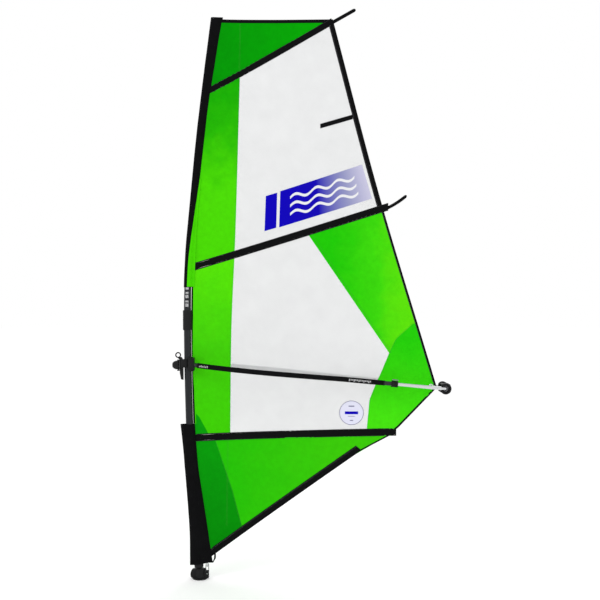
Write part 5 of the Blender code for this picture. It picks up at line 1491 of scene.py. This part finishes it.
# ---- Boom head -----------------------------------------------------------------------------------
# A moulded clamp: the body holds both arms and the back of the mast, the jaw swings round the front on a
# steel pin, and the over-centre lever pulls it shut. Both halves have a soft liner against the mast.
for node, body in (("boom_head_body", "root"), ("boom_head_jaw", "boom_head_jaw")):
    eased(node + "_moulded", node, moulded_black, body, 0.0006, 2)
HEAD_X, HEAD_MIDDLE = mast_x(1.356), 1.356
LEVER_Z = (HEAD_MIDDLE - 0.0395, HEAD_MIDDLE + 0.0180)
LEVER_OUTLINE = [(0.0535, 0.0330), (0.0540, 0.0050), (0.0545, -0.0230), (0.0545, -0.0244),
                 (0.0552, -0.0290), (0.0590, -0.0322), (0.0640, -0.0310), (0.0720, -0.0265),
                 (0.0800, -0.0220), (0.0890, -0.0160), (0.0960, -0.0100), (0.0994, 0.0),
                 (0.0980, 0.0060), (0.0930, 0.0125), (0.0860, 0.0180), (0.0780, 0.0240),
                 (0.0705, 0.0325), (0.0640, 0.0395), (0.0560, 0.0400)]
bm = bmesh.new()
rings = []
for k in range(25):
    z = LEVER_Z[0] + (LEVER_Z[1] - LEVER_Z[0]) * k / 24
    off = abs(k / 12 - 1)
    nose = math.sqrt(max(0.0, 1 - off ** 2.6)) * 0.80 + 0.20
    rings.append([bm.verts.new((HEAD_X - 0.0535 - (x - 0.0535) * nose, y * (0.88 + 0.12 * nose), z))
                  for x, y in LEVER_OUTLINE])
skin(bm, rings)
cap_ends(bm, rings)
ride_as(mesh_object("boom_head_lever_moulded", bm, moulded_black), "boom_head_lever",
        ["boom_head_lever"])
bm = bmesh.new()
for k in range(5):
    z = HEAD_MIDDLE - 0.0245 + 0.0068 * k
    rows = []
    for j in range(13):
        y = -0.0120 + 0.0020 * j
        x = HEAD_X - 0.0984 + 0.55 * y * y / 0.012
        swell = 0.0010 * (1 - (abs(j - 6) / 6) ** 4)
        rows.append([bm.verts.new((x + dx, y, z + dz)) for dx, dz in
                     ((0.0012, -0.0017), (-swell, -0.0009), (-swell, 0.0009), (0.0012, 0.0017))])
    skin(bm, rows)
    cap_ends(bm, rows)
ride_as(mesh_object("lever_finger_ribs", bm, moulded_grey), "boom_head_lever")
for z in (HEAD_MIDDLE + 0.0385, HEAD_MIDDLE - 0.0455):
    up = 1 if z > HEAD_MIDDLE else -1
    head_profile = [(0.0, 0.0), (0.0056, 0.0), (0.0056, 0.0014), (0.0042, 0.0026), (0.0, 0.0030)]
    cap = ringed("hinge_cap_" + ("top" if up > 0 else "bottom"), head_profile, (HEAD_X - 0.0010, 0.0480, z),
                 (0, 0, up), bright_steel, 28)
    ride_as(cap, "root")


LEVER_PIN = (-0.0590, -0.0270)
LUG_RADIUS = 0.0064
lug_turns = [math.radians(degrees) for degrees in range(100, 281, 20)]
lug_end = [(LEVER_PIN[0] + LUG_RADIUS * math.cos(t), LEVER_PIN[1] + LUG_RADIUS * math.sin(t))
           for t in lug_turns]
for word, low, high, root_y in (("top", 0.0186, 0.0240, (-0.0334, -0.0206)),
                                ("bottom", -0.0455, -0.0401, (-0.0150, 0.0060))):
    bm = bmesh.new()
    outline = [(-0.0440, root_y[0]), (-0.0440, root_y[1])] + lug_end
    rings = [[bm.verts.new((HEAD_X + x, y, HEAD_MIDDLE + rise)) for x, y in outline] for rise in (low, high)]
    skin(bm, rings)
    cap_ends(bm, rings)
    bmesh.ops.bevel(bm, geom=list(bm.edges), offset=0.0005, segments=2, profile=0.5, affect="EDGES")
    ride_as(mesh_object("lever_lug_" + word, bm, moulded_black), "boom_head_jaw")
    up = 1 if word == "top" else -1
    pin_profile = [(0.0, 0.0), (0.0042, 0.0), (0.0042, 0.0010), (0.0030, 0.0018), (0.0, 0.0020)]
    cap = ringed("lever_cap_" + word, pin_profile,
                 (HEAD_X + LEVER_PIN[0], LEVER_PIN[1], HEAD_MIDDLE + (high if up > 0 else low)), (0, 0, up),
                 bright_steel, 28)
    ride_as(cap, "boom_head_jaw")


def liner_point(j, k, radius, start, end):
    z = HEAD_MIDDLE - 0.022 + 0.044 * j / 6
    angle = start + (end - start) * k / 23
    return Vector((mast_x(z) + radius * math.cos(angle), radius * math.sin(angle), z))


for word, body, start, end in (("body", "root", -1.15, 1.15), ("jaw", "boom_head_jaw", 2.05, 4.23)):
    liner = shell("head_liner_" + word, lambda j, k: liner_point(j, k, 0.0243, start, end),
                  lambda j, k: liner_point(j, k, 0.0233, start, end), 7, 24, band_rubber, True)
    ride_as(liner, body)
for node in ("base_sheave_axle", "tack_axle", "jaw_hinge_pin"):
    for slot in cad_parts[node].material_slots:
        slot.material = bright_steel
